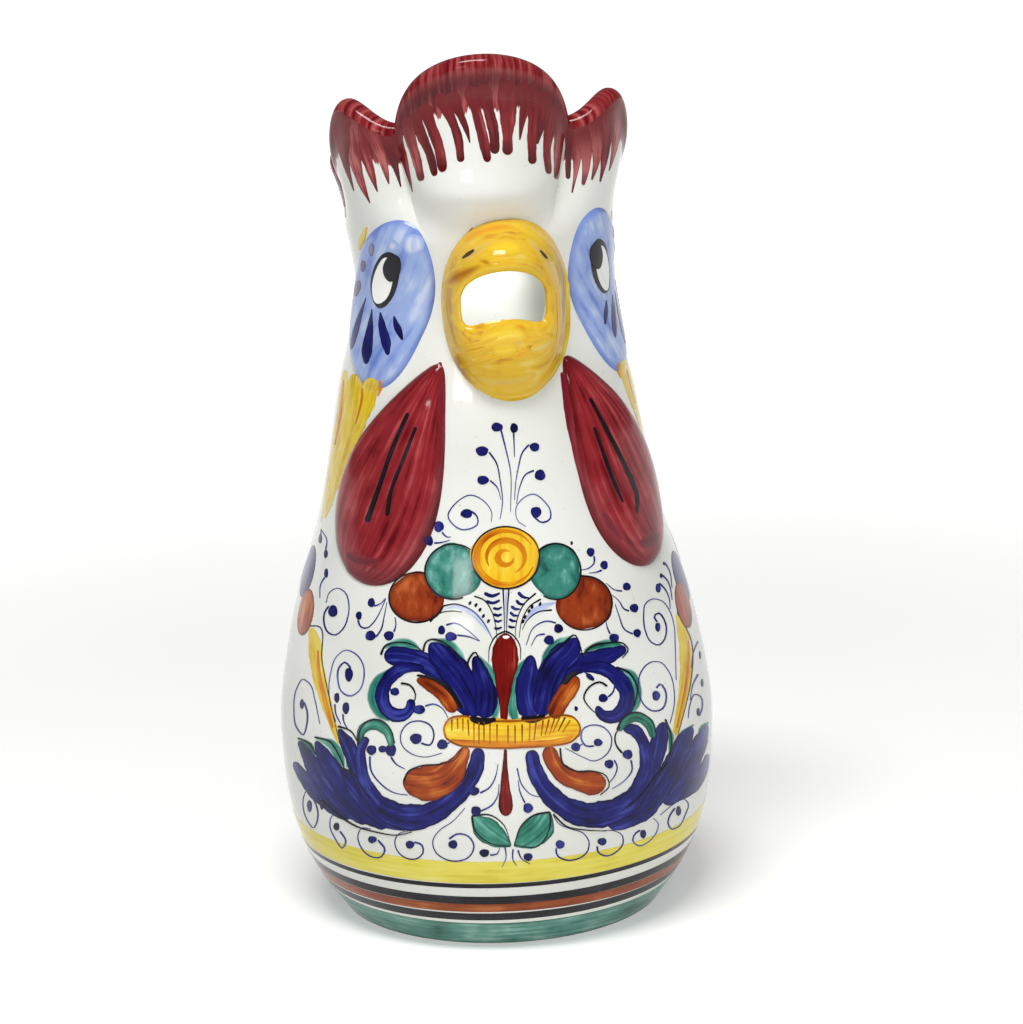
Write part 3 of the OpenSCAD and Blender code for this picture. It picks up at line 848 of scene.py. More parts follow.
# Spray of dots over the flowers, dot then stem
SPRAY = [
    ((497, 427, 6, 4.5), [(501, 430), (506, 450), (510, 468), (510.6, 512)]),
    ((514, 428, 4, 5), [(513.6, 433), (514.5, 457)]),
    ((482, 451, 6.5, 5), [(489, 452), (496, 462), (500, 480), (502.4, 504), (500, 519)]),
    ((483, 480, 6, 4.5), [(490, 480.4), (497, 487), (501, 500)]),
    ((534.5, 447, 5, 4.5), [(529, 444.4), (522, 453), (519, 464), (516, 480), (514.4, 500)]),
    ((540, 475, 5.5, 5.5), [(534, 470.4), (526, 474), (520, 486), (516.4, 504)]),
    ((466.5, 513.5, 6, 4.6), [(471, 511), (477, 516), (478, 523), (462, 529.6), (448, 516), (457, 502),
     (470, 495), (485, 502), (492, 514), (491, 521.6)]),
    ((536, 512, 5.5, 5.5), [(533, 516), (542, 522.4), (550, 519), (550.4, 511), (545, 502), (533, 494),
     (522, 499), (516, 508), (518, 521), (526, 526.4)]),
    ((439, 526.5, 5, 5.6), [(442, 532), (447, 537), (451, 537)]),
    ((429.5, 540.5, 4.6, 5.4), [(434, 543), (442, 542.4), (450, 540)]),
    ((590.5, 552, 4, 4.5), [(594, 556), (594, 563), (589, 568), (581, 570)]),
    ((604, 565, 3.8, 4.4), [(602, 570), (597, 572), (589, 573)]),
    ((626.6, 586.5, 4, 4), [(622, 591), (615, 590), (606, 583)]),
    ((634, 608, 4.4, 4.4), [(629, 611), (624, 609), (619, 601), (612, 595)]),
    ((637, 633, 3.8, 4.2), [(633, 634), (625, 630), (619, 616), (615, 604)]),
    ((614, 638, 5, 4.6), [(610, 634), (607, 627), (606, 622)]),
    ((371.5, 602.5, 3.6, 4.6), [(374, 606), (380, 604), (386, 598)]),
    ((359, 615.5, 3, 4.2), [(358, 620), (361, 627), (367, 628), (374, 622), (381, 610), (386, 598)]),
    ((370.6, 635.6, 5.2, 5), [(376, 637), (381, 630), (384, 618), (387, 602)]),
    ((389, 635.6, 5, 4.8), [(394, 632), (396, 625), (395, 617)]),
    ((558.4, 628.4, 4.6, 4.6), [(556, 623), (548, 621), (534, 627), (526, 645)]),
    ((549, 640, 5.2, 4.8), [(545, 634), (538, 635), (531, 646)]),
    ((441.6, 630, 3.6, 4.6), [(446, 625), (455, 623), (466, 629), (480, 641)]),
    ((451, 636.5, 6, 4.6), [(457, 635), (470, 637), (479, 641)]),
]

# Flowers: middle, radii, colour, and the arc of dark outline
FLOWERS = [
    ((417, 597.4, 28, 25), "russet", (20, 330)),
    ((584, 603, 28, 27), "russet", (200, 500)),
    ((453.5, 571.5, 28.5, 27.5), "jade", (70, 320)),
    ((555.6, 571.4, 25, 28), "jade", (215, 480)),
    ((505.6, 557.5, 34, 31), "gold", (0, 360)),
]
OUTLINE_POINTS, OUTLINE_TAIL_SHARE = 20, 0.6
FLOWER_SWIRLS = [(0.86, 20, 330), (0.56, 150, 420), (0.24, 0, 300)]
SWIRL_PX, SWIRL_POINTS, SWIRL_START, SWIRL_SPAN = 3.2, 14, 0.6, 14.2
FLOWER_SPECK = (571.6, 543, 1.3, 2)


def paint_flowers():
    for k, (oval, colour, (start, end)) in enumerate(FLOWERS):
        dab("flowers", colour, *oval, coat=FIRST + k)
        outline = arc(*oval, start, end, OUTLINE_POINTS)
        line("flowers", "black", outline, OUTLINE_PX, FIRST + HALF_COAT + k, OUTLINE_TAIL_SHARE)
    (x, y, rx, ry), _, _ = FLOWERS[-1]
    halves = [SWIRL_PX * math.sin(math.pi * (k + SWIRL_START) / SWIRL_SPAN) for k in range(SWIRL_POINTS)]
    for share, start, end in FLOWER_SWIRLS:
        points = arc(x, y, rx * share, ry * share, start, end, SWIRL_POINTS)
        brush("flowers", "amber", [(*point, half) for point, half in zip(points, halves)], SIXTH)
    dab("flowers", "black", *FLOWER_SPECK, coat=SECOND)


# Fan of dashes and feathers under the flowers
FAN_LINES = [
    [(503, 588), (504, 610), (504.6, 636)],
    [(509, 588), (507.4, 610), (506.4, 634)],
    [(430, 622), (438, 614), (450, 611), (462, 612)],
    [(443, 606), (455, 604), (470, 609), (483, 622), (493, 640)],
    [(474, 596), (484, 600), (492, 612), (496, 628), (497, 640)],
    [(536, 593), (524, 604), (517, 620), (515, 640)],
    [(541, 599), (530, 606), (522, 620), (519, 638)],
    [(552, 610), (538, 612), (526, 622), (522, 630)],
]
FAN_HAZES = [
    [(440, 610, 1), (458, 607, 3), (474, 614, 4), (486, 628, 3), (494, 640, 1)],
    [(558, 602, 1), (545, 606, 4), (532, 613, 4), (524, 622, 1)],
    [(506, 590, 2), (506, 610, 2), (505.6, 632, 1)],
]
FAN_DASHES = [
    [(484, 593, 1.6), (492, 596, 1.8), (500, 593, 1)],
    [(486, 601, 1.5), (493, 603, 1.6), (500, 600, 1)],
    [(493, 608, 1.4), (498, 609, 1.4), (502, 607, 0.8)],
    [(493, 614, 1.4), (498, 615.6, 1.4), (502, 614, 0.8)],
    [(494, 620, 1.3), (498, 621.6, 1.3), (502, 620, 0.8)],
    [(494, 628, 1.3), (498, 628.6, 1.2), (502, 627, 0.8)],
    [(518, 592, 1.8), (523, 597, 1.6), (529, 598, 0.8)],
    [(516, 600, 1.6), (520, 604, 1.4), (525, 604, 0.8)],
    [(511, 606, 1.5), (515, 609, 1.4), (520, 609, 0.8)],
    [(510, 612, 1.5), (514, 615.6, 1.4), (518, 615.6, 0.8)],
    [(509, 619, 1.3), (513, 621, 1.3), (516.6, 621, 0.8)],
    [(508, 626, 1.3), (512, 627.4, 1.2), (515, 627, 0.8)],
]
FAN_DOTS = [
    (470, 603), (476, 605), (480, 609.6), (483.4, 616), (488.4, 621), (540, 604), (532, 607), (529, 611),
    (525, 617), (523, 621.4),
]
FAN_PX, FAN_DOT = 0.9, (1.4, 2.2, 30)


def paint_fan():
    brush_all("fan", "haze", FAN_HAZES, FIRST)
    line_all("fan", "black", FAN_LINES, FAN_PX, SECOND)
    brush_all("fan", "navy", FAN_DASHES, THIRD)
    for x, y in FAN_DOTS:
        dab("fan", "black", x, y, *FAN_DOT, THIRD)


# Acanthus over the buckle: leaves in cobalt with green edges, rust tongues, and dark lines
ACANTHUS_COBALT = [
    [(384, 656, 8), (400, 656, 10), (420, 661, 10), (440, 672, 13), (458, 692, 15), (474, 714, 10)],
    [(430, 643, 4), (440, 655, 12), (452, 668, 15), (466, 690, 14), (478, 716, 10)],
    [(475, 656, 4), (480, 672, 8), (486, 692, 11), (484, 718, 12)],
    [(424, 668, 3), (404, 668, 6), (389, 678, 7), (382, 694, 7), (385, 707, 7), (395, 715, 7),
     (405, 714, 6), (411, 706, 5), (410, 699, 4)],
    [(531, 655, 3), (529, 672, 10), (527, 690, 12), (531, 718, 12)],
    [(577, 638, 4), (570, 650, 12), (558, 662, 14), (548, 682, 13), (541, 716, 9)],
    [(626, 648, 4), (610, 655, 8), (590, 660, 9), (570, 668, 10), (554, 688, 8)],
    [(580, 668, 4), (602, 668, 7), (618, 678, 8), (627, 694, 8), (624, 709, 8), (612, 717, 7),
     (601, 714, 5), (597, 706, 3)],
]
ACANTHUS_GREEN = [
    [(383, 648, 2), (398, 643, 4), (412, 645, 4), (422, 650, 1)],
    [(429, 639, 1), (446, 643, 4), (460, 656, 4), (466, 667, 1)],
    [(478, 654, 1), (489, 670, 4), (496, 695, 5), (494, 720, 3)],
    [(390, 668, 1), (377, 681, 4), (373, 698, 4.5), (379, 712, 4.5), (391, 721, 2)],
    [(530, 655, 1), (520, 668, 4), (513, 690, 5), (512, 708, 5), (517, 724, 3)],
    [(574, 635, 1), (560, 644, 5), (547, 658, 5), (542, 671, 1)],
    [(583, 652, 2), (597, 646, 4), (612, 644, 4), (623, 645, 2)],
    [(616, 667, 1), (631, 675, 4), (637, 689, 4), (635, 704, 4), (624, 719, 2)],
]
ACANTHUS_RUST = [
    [(417, 679, 3), (430, 685, 6), (444, 695, 7.5), (455, 712, 6)],
    [(577, 676, 7), (568, 690, 9), (560, 702, 9), (552, 718, 7)],
]
ACANTHUS_BLACK = [
    [(417, 675, 1), (432, 678, 1.6), (448, 688, 2.6), (462, 708, 2)],
    [(563, 684, 3), (570, 676, 3), (578, 671, 1.4)],
    [(470, 718, 2.6), (483, 721.4, 3.6), (496, 719, 2)],
    [(521, 718, 2.6), (533, 719.4, 3.6), (545, 716, 2)],
]
ACANTHUS_LINES = [
    [(381, 655), (385, 646), (398, 642), (412, 644), (424, 652)],
    [(423, 652), (427, 641), (433, 639), (448, 645), (462, 659), (468, 668)],
    [(467, 668), (469, 659), (475, 652), (480, 660), (489, 680), (490, 704)],
    [(607, 686), (600, 682), (590, 686), (583.6, 698), (590, 708), (600, 716)],
    [(401, 683), (410, 685), (415.6, 694), (413, 706)],
    [(541, 672), (546, 660), (560, 647), (575, 635), (580, 646), (583, 658)],
    [(583, 655), (590, 647), (606, 643), (624, 644), (628, 649), (622, 658)],
    [(616, 667), (628, 672), (637, 688), (634, 706)],
]

# Leaves: spread of the green edges, lowest coats, and how the coats of a cluster's strokes step up
GREEN_SPREAD_SHARE = 1.5
GREEN_COAT, COBALT_COAT, COAT_STEP = 0.6, 2, 0.35
GREEN_CLUSTER, COBALT_CLUSTER = 4, 6


def paint_leaves(motif, greens, cobalts):
    """Green edges first and cobalt leaves over them, each stroke of a cluster in a coat of its own."""
    for k, points in enumerate(greens):
        wide = [(x, y, half * GREEN_SPREAD_SHARE) for x, y, half in points]
        brush(motif, "green", wide, GREEN_COAT + COAT_STEP * (k % GREEN_CLUSTER))
    for k, points in enumerate(cobalts):
        brush(motif, "cobalt", points, COBALT_COAT + COAT_STEP * (k % COBALT_CLUSTER))


def paint_acanthus():
    paint_leaves("acanthus", ACANTHUS_GREEN, ACANTHUS_COBALT)
    brush_all("acanthus", "rust", ACANTHUS_RUST, FOURTH + HALF_COAT)
    brush_all("acanthus", "black", ACANTHUS_BLACK, FIFTH)
    line_all("acanthus", "black", ACANTHUS_LINES, OUTLINE_PX, SIXTH)


# Scrolls under the buckle: cobalt leaves from its ends out to both sides
SCROLL_COBALT = [
    [(294, 762, 3), (302, 775, 6), (314, 790, 8), (330, 804, 8), (350, 818, 6)],
    [(299, 741, 2), (308, 757, 7), (318, 775, 9), (331, 793, 10), (346, 807, 9), (368, 822, 6)],
    [(316, 741, 2), (324, 756, 8), (334, 773, 10), (346, 792, 11), (362, 810, 11), (388, 826, 7)],
    [(342, 770, 2), (352, 783, 8), (365, 799, 11), (385, 816, 11), (410, 826, 7)],
    [(339, 729, 2), (347, 743, 7), (355, 763, 8), (364, 786, 9), (380, 807, 10), (402, 822, 8)],
    [(479, 748, 7), (475, 770, 8), (463, 790, 8.5), (445, 806, 10), (420, 817, 13), (396, 815, 13),
     (377, 803, 10), (366, 785, 7), (361, 766, 6), (361, 750, 5), (367, 737, 4)],
    [(708, 754, 3), (704, 770, 6), (697, 782, 7), (686, 792, 6), (672, 800, 4)],
    [(707, 725, 3), (702, 740, 8), (694, 760, 9), (683, 781, 10), (664, 804, 8)],
    [(692, 727, 3), (684, 742, 9), (675, 762, 10), (661, 786, 12), (640, 811, 12), (608, 826, 7)],
    [(664, 722, 3), (660, 738, 9), (656, 757, 8), (648, 780, 8), (630, 804, 9), (604, 821, 8)],
    [(531, 750, 7), (535, 770, 8), (546, 790, 9.5), (563, 806, 11), (586, 815, 13), (611, 812, 13),
     (632, 800, 11), (643, 782, 9), (647, 762, 7.5), (643, 742, 6), (634, 730, 6), (623, 728, 4)],
]
SCROLL_GREEN = [
    [(338, 740, 2), (345, 757, 3.4), (357, 780, 3.4), (372, 801, 1)],
    [(316, 739, 1), (331, 744, 4), (341, 760, 3.4), (345, 768, 1)],
    [(299, 738, 1), (310, 746, 3), (317, 757, 1)],
    [(343, 768, 1), (353, 774, 3), (366, 792, 3.4), (384, 810, 1)],
    [(666, 763, 1.6), (655, 780, 3.4), (640, 798, 3.4), (618, 814, 1)],
    [(666, 722, 1), (671, 738, 2.8), (669, 756, 1)],
    [(694, 724, 1), (682, 736, 3.4), (674, 752, 1.6)],
    [(709, 722, 1), (702, 728, 2.6), (698, 738, 1)],
]
SCROLL_CURLS = [
    [(359, 742, 2), (363, 729, 5), (375, 724, 5.5), (387, 731, 5), (392, 746, 3)],
    [(619, 731, 2), (624, 722, 4), (637, 717, 5), (649, 724, 5), (653, 738, 3)],
]
SCROLL_RUST = [
    [(403, 781, 8), (412, 782, 14), (426, 783, 18), (441, 780, 17), (453, 771, 13), (461, 759, 8),
     (467, 747, 4)],
    [(548, 746, 7), (552, 760, 8), (562, 773, 9), (578, 781, 10), (592, 783, 12), (606, 782, 9)],
]
SCROLL_LINES = [
    [(338, 726), (351, 731), (359, 744)],
    [(342, 768), (352, 772), (364, 790), (376, 804)],
    [(315, 737), (329, 741), (340, 757), (345, 769)],
    [(298, 738), (309, 743), (316, 754)],
    [(668, 763), (654, 778), (640, 796), (622, 810)],
    [(665, 719), (671, 736), (670, 756)],
    [(404, 782), (408, 772), (420, 766), (440, 764), (454, 760), (463, 748)],
    [(560, 748), (563, 764), (576, 771), (592, 771), (606, 776), (609, 786), (600, 795)],
    [(622, 753), (616, 745), (615, 735), (620, 727)],
    [(358, 745), (361, 729), (370, 720), (381, 720), (390, 728), (395, 743)],
    [(617, 730), (622, 719), (636, 712), (650, 719), (656, 734)],
    [(320, 800), (340, 816), (356, 826), (376, 832), (398, 835), (412, 832)],
    [(553, 814), (566, 826), (586, 830), (606, 831)],
]
SCROLL_SPRIGS = [
    ((395, 691.6, 4.4, 4), [(392, 692), (389, 686), (392, 678), (401, 676)]),
    ((603, 698, 4.6, 4.2), [(608, 697), (613, 692), (614, 682), (608, 675), (598, 670)]),
    ((419, 709.5, 6.4, 4.6), [(425, 706), (434, 704), (443, 709), (448, 718)]),
    ((416, 738.6, 6, 5.4), [(421, 743), (430, 745), (434, 736), (431, 726), (421, 721), (409, 723),
     (401, 733), (402, 745), (412, 754), (425, 757), (442, 753)]),
    ((442.4, 744.4, 5.4, 5), [(446, 744), (451, 742)]),
    ((371.6, 750, 5, 5), [(370, 756), (371, 770), (380, 783), (395, 793), (408, 795)]),
    ((391, 750, 5.4, 6.4), [(391, 757), (396, 764), (405, 769)]),
    ((598, 742.4, 4.4, 3.8), [(594, 746), (586, 746), (581, 738), (583, 729), (592, 725), (603, 727),
     (611, 736), (610, 749), (602, 758), (593, 761), (585, 758), (565, 748)]),
    ((575.6, 747, 4.6, 4.4), [(578, 746), (583, 744)]),
    ((609, 764, 4.6, 4.4), [(614, 760), (617, 766), (615, 775), (609, 783)]),
    ((627.6, 754.4, 5, 4.8), [(631, 760), (632, 770), (625, 780), (612, 789)]),
    ((590, 677, 5, 2.6, 40), [(588, 674), (582, 671)]),
    ((576, 708.6, 1.8, 2.4), [(576, 708), (575, 706)]),
    ((476, 811, 5, 5), [(481, 811), (492, 805), (498, 795), (499, 784)]),
    ((474, 791, 5.6, 4.4), [(480, 793), (489, 788), (496, 775), (498, 764)]),
    ((528, 808, 5, 5), [(525, 803), (520, 792), (518, 780)]),
    ((383, 749, 4.6, 3.4), [(386, 751), (390, 753)]),
]
SCROLL_STEM = [(517, 768), (522, 785), (532, 795), (540, 797)]


def paint_scrolls():
    paint_leaves("scrolls", SCROLL_GREEN, SCROLL_COBALT)
    brush_all("scrolls", "leaf", SCROLL_CURLS, FOURTH + HALF_COAT)
    brush_all("scrolls", "rust", SCROLL_RUST, FOURTH + HALF_COAT)
    line_all("scrolls", "black", SCROLL_LINES, THIN_PX, SIXTH)
    sprig_all("scrolls", SCROLL_SPRIGS)
    line("scrolls", "ink", SCROLL_STEM)


# Middle: red drops over and under the buckle, a painted highlight on the upper drop, the buckle itself, and two
# leaves
UPPER_DROP = [
    (505.4, 633, 3), (505.4, 641, 9.6), (505, 651, 13.6), (505, 664, 12.8), (504, 685, 8.6),
    (504, 704, 5), (504, 722, 3.2),
]
DROP_LINES = [
    [(505.6, 631), (497, 635), (490, 646), (488.6, 662)],
    [(505.6, 631), (513, 635), (520, 646), (520.4, 660)],
]
LOWER_DROP = [(505.5, 749, 1.4), (505, 765, 2.6), (505, 785, 4.6), (505.5, 800, 7), (506, 816, 6)]
BUCKLE = [
    (444, 731, 10), (458, 731, 14), (480, 732, 14.4), (505, 733, 14.4), (530, 732.6, 14.4),
    (556, 730, 15), (570, 729, 13.6), (581, 729, 9),
]
BUCKLE_EDGES = [
    [(446, 738), (444, 728), (449, 719), (462, 716), (480, 720), (505, 721), (540, 719), (560, 715),
     (573, 717), (580, 727), (578, 737)],
    [(446, 738), (456, 744), (480, 747), (505, 748), (530, 747), (556, 745), (572, 741), (579, 734)],
]
BUCKLE_STRIPES = [
    (452, 719, 452, 731), (457.5, 718, 458, 729), (463, 718, 463, 731), (468, 719, 469, 736),
    (474, 721, 474, 745), (479, 722, 479, 744), (484, 722, 484, 742), (490, 722, 490, 744),
    (497, 724, 497, 742), (508, 725, 508, 743), (515, 725, 515, 744), (522, 724, 522, 742),
    (530, 722, 529, 742), (536, 721, 534, 740), (543, 720, 541, 736), (549, 719, 545, 735),
    (555, 717, 549, 735), (560, 716, 553, 732), (565, 717, 558, 731), (570, 720, 562, 733),
]
LEAVES = [
    [(472, 815, 2), (482, 826, 11), (495, 836, 12), (511, 846, 1.4)],
    [(550, 812, 2), (542, 825, 14), (530, 836, 14), (514, 846, 1.4)],
]
LEAF_LINES = [
    [(472, 816), (490, 815), (503, 824), (511, 845)],
    [(472, 816), (475, 830), (490, 843), (511, 846)],
    [(550, 812), (534, 815), (521, 826), (514, 845)],
    [(550, 812), (550, 826), (538, 846), (514, 845)],
]
LEAF_SPRIGS = [
    ((484.4, 853, 5, 4), [(490, 855), (497, 854), (500, 847)]),
    ((528, 857, 4.6, 4), [(518, 850), (521, 858), (530, 864)]),
]
LEAF_STEMS = [[(505, 847), (506, 858), (502, 867)], [(513, 849), (513, 860), (517, 866)]]
# White dab on the upper red drop: a painted highlight
DROP_PAINTED_HIGHLIGHT = (506, 637, 3.4, 1.7)
BUCKLE_SHADE = [(450, 741, 2), (480, 743, 3), (520, 744, 3), (560, 741, 3), (574, 736, 1)]
STRIPE_TOP_PX, STRIPE_FOOT_PX = 0.9, 0.5
EDGE_TAIL_SHARE = 0.9


def paint_middle():
    brush_all("middle", "red", (UPPER_DROP, LOWER_DROP), SECOND)
    dab("middle", "eye", *DROP_PAINTED_HIGHLIGHT, coat=THIRD)
    brush_all("middle", "leaf", LEAVES, SECOND)
    line_all("middle", "black", DROP_LINES + LEAF_LINES, THIN_PX, THIRD)
    sprig_all("middle", LEAF_SPRIGS)
    line_all("middle", "ink", LEAF_STEMS, HAIR_PX, THIRD)


def paint_buckle():
    brush("buckle", "gold", BUCKLE, FOURTH)
    for x0, y0, x1, y1 in BUCKLE_STRIPES:
        brush("buckle", "brown", [(x0, y0, STRIPE_TOP_PX), (x1, y1, STRIPE_FOOT_PX)], FIFTH)
    for points in BUCKLE_EDGES:
        line("buckle", "brown", points, THIN_PX, FIFTH, EDGE_TAIL_SHARE)
    brush("buckle", "amber", BUCKLE_SHADE, FOURTH + HALF_COAT)


# Row of small curls over the yellow ring, and the curls at both sides
CURLS = [
    ((336.6, 826.6, 3, 4), [(340, 831), (346, 842), (343, 848), (335, 838), (330, 826), (332, 816),
     (340, 814)]),
    ((372.4, 839.6, 4.4, 3.6), [(378, 840), (385, 850), (381, 857), (370, 856), (360, 845), (358, 835),
     (362, 828), (371, 829)]),
    ((410, 844.6, 4.4, 4), [(414, 842), (422, 845), (423, 853), (416, 859), (406, 858), (397, 850),
     (395, 840), (400, 833), (408, 831)]),
    ((453, 844.4, 4.6, 4.4), [(449, 839), (457, 834), (468, 836), (474, 846), (470, 856), (459, 861),
     (445, 859), (435, 851), (433, 840), (440, 830), (452, 822), (465, 808)]),
    ((560, 844.4, 4.6, 4.4), [(556, 848), (557, 855), (566, 860), (577, 859), (587, 852), (589, 842),
     (583, 833), (571, 829), (558, 823), (553, 815)]),
    ((602, 841.6, 4.6, 3.8), [(597, 846), (598, 852), (606, 856), (616, 852), (623, 843), (622, 835),
     (615, 831), (600, 831)]),
    ((643, 834, 3, 4.4), [(640, 830), (634, 835), (633, 842), (639, 846), (648, 842), (656, 833),
     (658, 823), (653, 818)]),
    ((678.4, 811, 2.6, 5), [(675, 808), (670, 815), (668, 824), (671, 829), (678, 827), (685, 815),
     (688, 803), (684, 799), (677, 802), (660, 815)]),
    ((309.6, 806, 2.6, 6), [(312, 796), (316, 804), (318, 818), (314, 828), (305, 815), (304, 796),
     (309, 786)]),
    ((322, 806, 1.8, 3.6), [(322, 802), (321, 798)]),
]
SIDE_CURLS = [
    ((349, 674.4, 4, 7), [(351, 668), (345, 662), (339, 668), (338, 680), (342, 692), (350, 696),
     (359, 691), (364, 678), (363, 664), (356, 654), (346, 650), (337, 656), (331, 672), (329, 690),
     (330, 702), (336, 722)]),
    ((337, 697.6, 2.6, 5), [(335, 704), (336, 714), (341, 724)]),
    ((346, 708, 3.4, 6), [(343, 714), (344, 722), (348, 729)]),
    ((302, 704, 2, 5), [(304, 702), (307, 710), (307, 724), (303, 735), (297, 728), (294, 710),
     (297, 688), (303, 679), (310, 684), (315, 700), (320, 724)]),
    ((333, 611, 4.8, 6), [(329, 606), (325, 612), (324, 622), (329, 633), (335, 635), (343, 629),
     (348, 617), (349, 604), (345, 592), (338, 588), (330, 592), (326, 603)]),
    ((326, 553.6, 2, 4.4), [(326, 549), (327, 540), (321, 529)]),
    ((326.4, 573, 2, 4.6), [(325, 577), (321, 584), (320, 598)]),
    ((320.4, 538.6, 2, 4.8), [(321, 534), (321, 530)]),
    ((656, 695.6, 4, 5), [(656, 688), (660, 684), (665, 690), (666, 700), (662, 709), (653, 711),
     (644, 705), (639, 694), (638, 682), (642, 670), (651, 662), (660, 662), (669, 672), (674, 690),
     (674, 705), (670, 723)]),
    ((657.6, 627, 2.6, 4.6), [(657, 622), (654, 616), (658, 613), (665, 622), (666, 634), (664, 640),
     (659, 645), (651, 642), (645, 630), (643.6, 614), (645, 604), (652, 599), (662, 601), (670, 612),
     (674, 626), (675, 645), (676, 680)]),
    ((658, 588, 2.6, 4.6), [(659, 583), (664, 588), (669, 598), (670, 609)]),
    ((661, 575.6, 1.4, 2.4), [(662, 575), (667, 580), (671, 592), (672, 600)]),
    ((664, 563.4, 1.4, 2), [(665, 563), (669, 570), (672, 588)]),
    ((700, 655, 1.2, 4), [(698, 641), (694, 650), (691, 668)]),
    ((702, 683, 1.4, 4), [(698, 674), (693, 684), (690, 700)]),
    ((698, 712, 1.6, 4), [(699, 716), (702, 708), (700, 696), (695, 694), (690, 704), (688, 718)]),
]

# Stalks at both sides: bud, petal and yellow stem
STALKS = {
    "hackle": [[(311, 628, 3), (314, 640, 6.4), (316, 660, 7), (321, 685, 6.4), (328, 709, 5), (335, 731, 3),
                (339, 744, 1)],
               [(677, 614, 2), (682, 628, 5.4), (685.6, 650, 6.4), (685.4, 680, 6), (681.6, 704, 4.8),
                (676, 730, 3.2), (671, 754, 1)]],
    "amber": [[(318, 650, 1), (319, 672, 2), (325, 700, 2.4), (333, 728, 1.4)],
               [(688, 640, 1), (688, 668, 1.6), (684, 696, 1.6), (677, 728, 1)]],
}
SIDE_FLOWERS = [
    ("cobalt", 307.5, 571, 7.2), ("cobalt", 681, 576, 7.2), ("rust", 305, 612, 6.4),
    ("rust", 684, 605, 6.4),
]
STALK_LINES = [
    [(309, 626), (318, 626), (322, 660), (331, 705), (340, 744)],
    [(677, 612), (691, 640), (691, 680), (684, 712), (672, 754)],
]
STALK_PX = 0.7


def paint_sides():
    sprig_all("curls", CURLS)
    sprig_all("stalks", SIDE_CURLS)
    for k, (colour, rows) in enumerate(STALKS.items()):
        brush_all("stalks", colour, rows, FIRST + HALF_COAT * k)
    for k, (colour, x, y, radius) in enumerate(SIDE_FLOWERS):
        spot("stalks", colour, x, y, radius, THIRD + HALF_COAT * k)
    line_all("stalks", "black", STALK_LINES, STALK_PX, THIRD)


# Hackle feathers below the eye patches
HACKLES = [
    [(361, 384, 17), (356, 405, 17), (348, 432, 13), (339, 464, 8), (330, 498, 3)],
    [(345, 370, 4), (343, 395, 6), (337, 430, 5.6), (330, 470, 4.4), (324, 505, 2.4), (321, 522, 1)],
    [(356, 374, 8), (352, 400, 9.4), (345, 435, 8), (337, 470, 6), (329, 505, 3), (325, 518, 1)],
    [(373, 378, 9), (366, 400, 9), (356, 430, 6.4), (345, 462, 4), (336, 490, 1.4)],
    [(367, 227, 1), (362, 240, 3), (359, 250, 1)],
]
HACKLE_ORANGES = [
    [(380, 380, 0.8), (381, 388, 1.4), (378, 396, 0.6)],
    [(363, 382, 1), (362, 400, 1.4), (356, 424, 0.6)],
    [(344, 380, 1), (341, 410, 1.4), (335, 445, 0.6)],
]


def paint_hackles():
    for flip in (None, CHEEK["shift"]):
        for k, points in enumerate(HACKLES):
            brush("hackles", "hackle", points, FIRST + HALF_COAT * k, flip)
        for points in HACKLE_ORANGES:
            brush("hackles", "amber", points, FOURTH, flip)


# Eyes, the marks on the eye patches, and pale dabs of painted highlight on them
EYE_DABS = [
    ("black", 385, 279.5, 13.6, 28.4, 11), ("eye", 383, 281, 9.6, 23.4, 11),
    ("black", 392.4, 268, 8.6, 13.6, 8),
]
EYE_FLIP, DROPS_FLIP = 1, 5
EYE_COAT_STEP, EYE_WAVY_SHARE = 3, 0.02
PATCH_DROPS = [
    [(366, 298, 0.4), (360, 316, 2.4), (354, 337, 3.6), (351, 349, 1.6)],
    [(372, 309, 0.4), (370, 328, 3.4), (366.6, 352, 5.6), (366, 364, 2)],
    [(380.4, 312, 0.6), (382, 326, 4), (386, 342, 5), (388, 355, 1.8)],
    [(394, 316, 0.6), (396, 324, 3), (399, 331, 3.4), (402.6, 340, 1)],
]
PATCH_GREYS = [(371.4, 249.6, 3, 6.4, 6), (363, 266, 3, 6, 10), (357.4, 288, 4.6, 8.4, 20)]
# Pale dabs on the eye patches: painted highlights, standing for reflections of the lamps in the glaze
PATCH_HIGHLIGHTS = [(393, 246, 6, 6, 0), (413, 245, 11, 11, 0), (586, 232, 3, 6, 20)]


def paint_eyes():
    # Painted highlights first, under the other marks
    for oval in PATCH_HIGHLIGHTS:
        dab("eyes", "mist", *oval, FIRST)
    for flip in (None, DROPS_FLIP):
        for oval in PATCH_GREYS:
            dab("eyes", "grey", *oval, SECOND, flip=flip)
        for points in PATCH_DROPS:
            brush("eyes", "navy", points, SECOND, flip)
    for flip in (None, EYE_FLIP):
        for k, (colour, *oval) in enumerate(EYE_DABS):
            dab("eyes", colour, *oval, SECOND + EYE_COAT_STEP * k, EYE_WAVY_SHARE, flip)


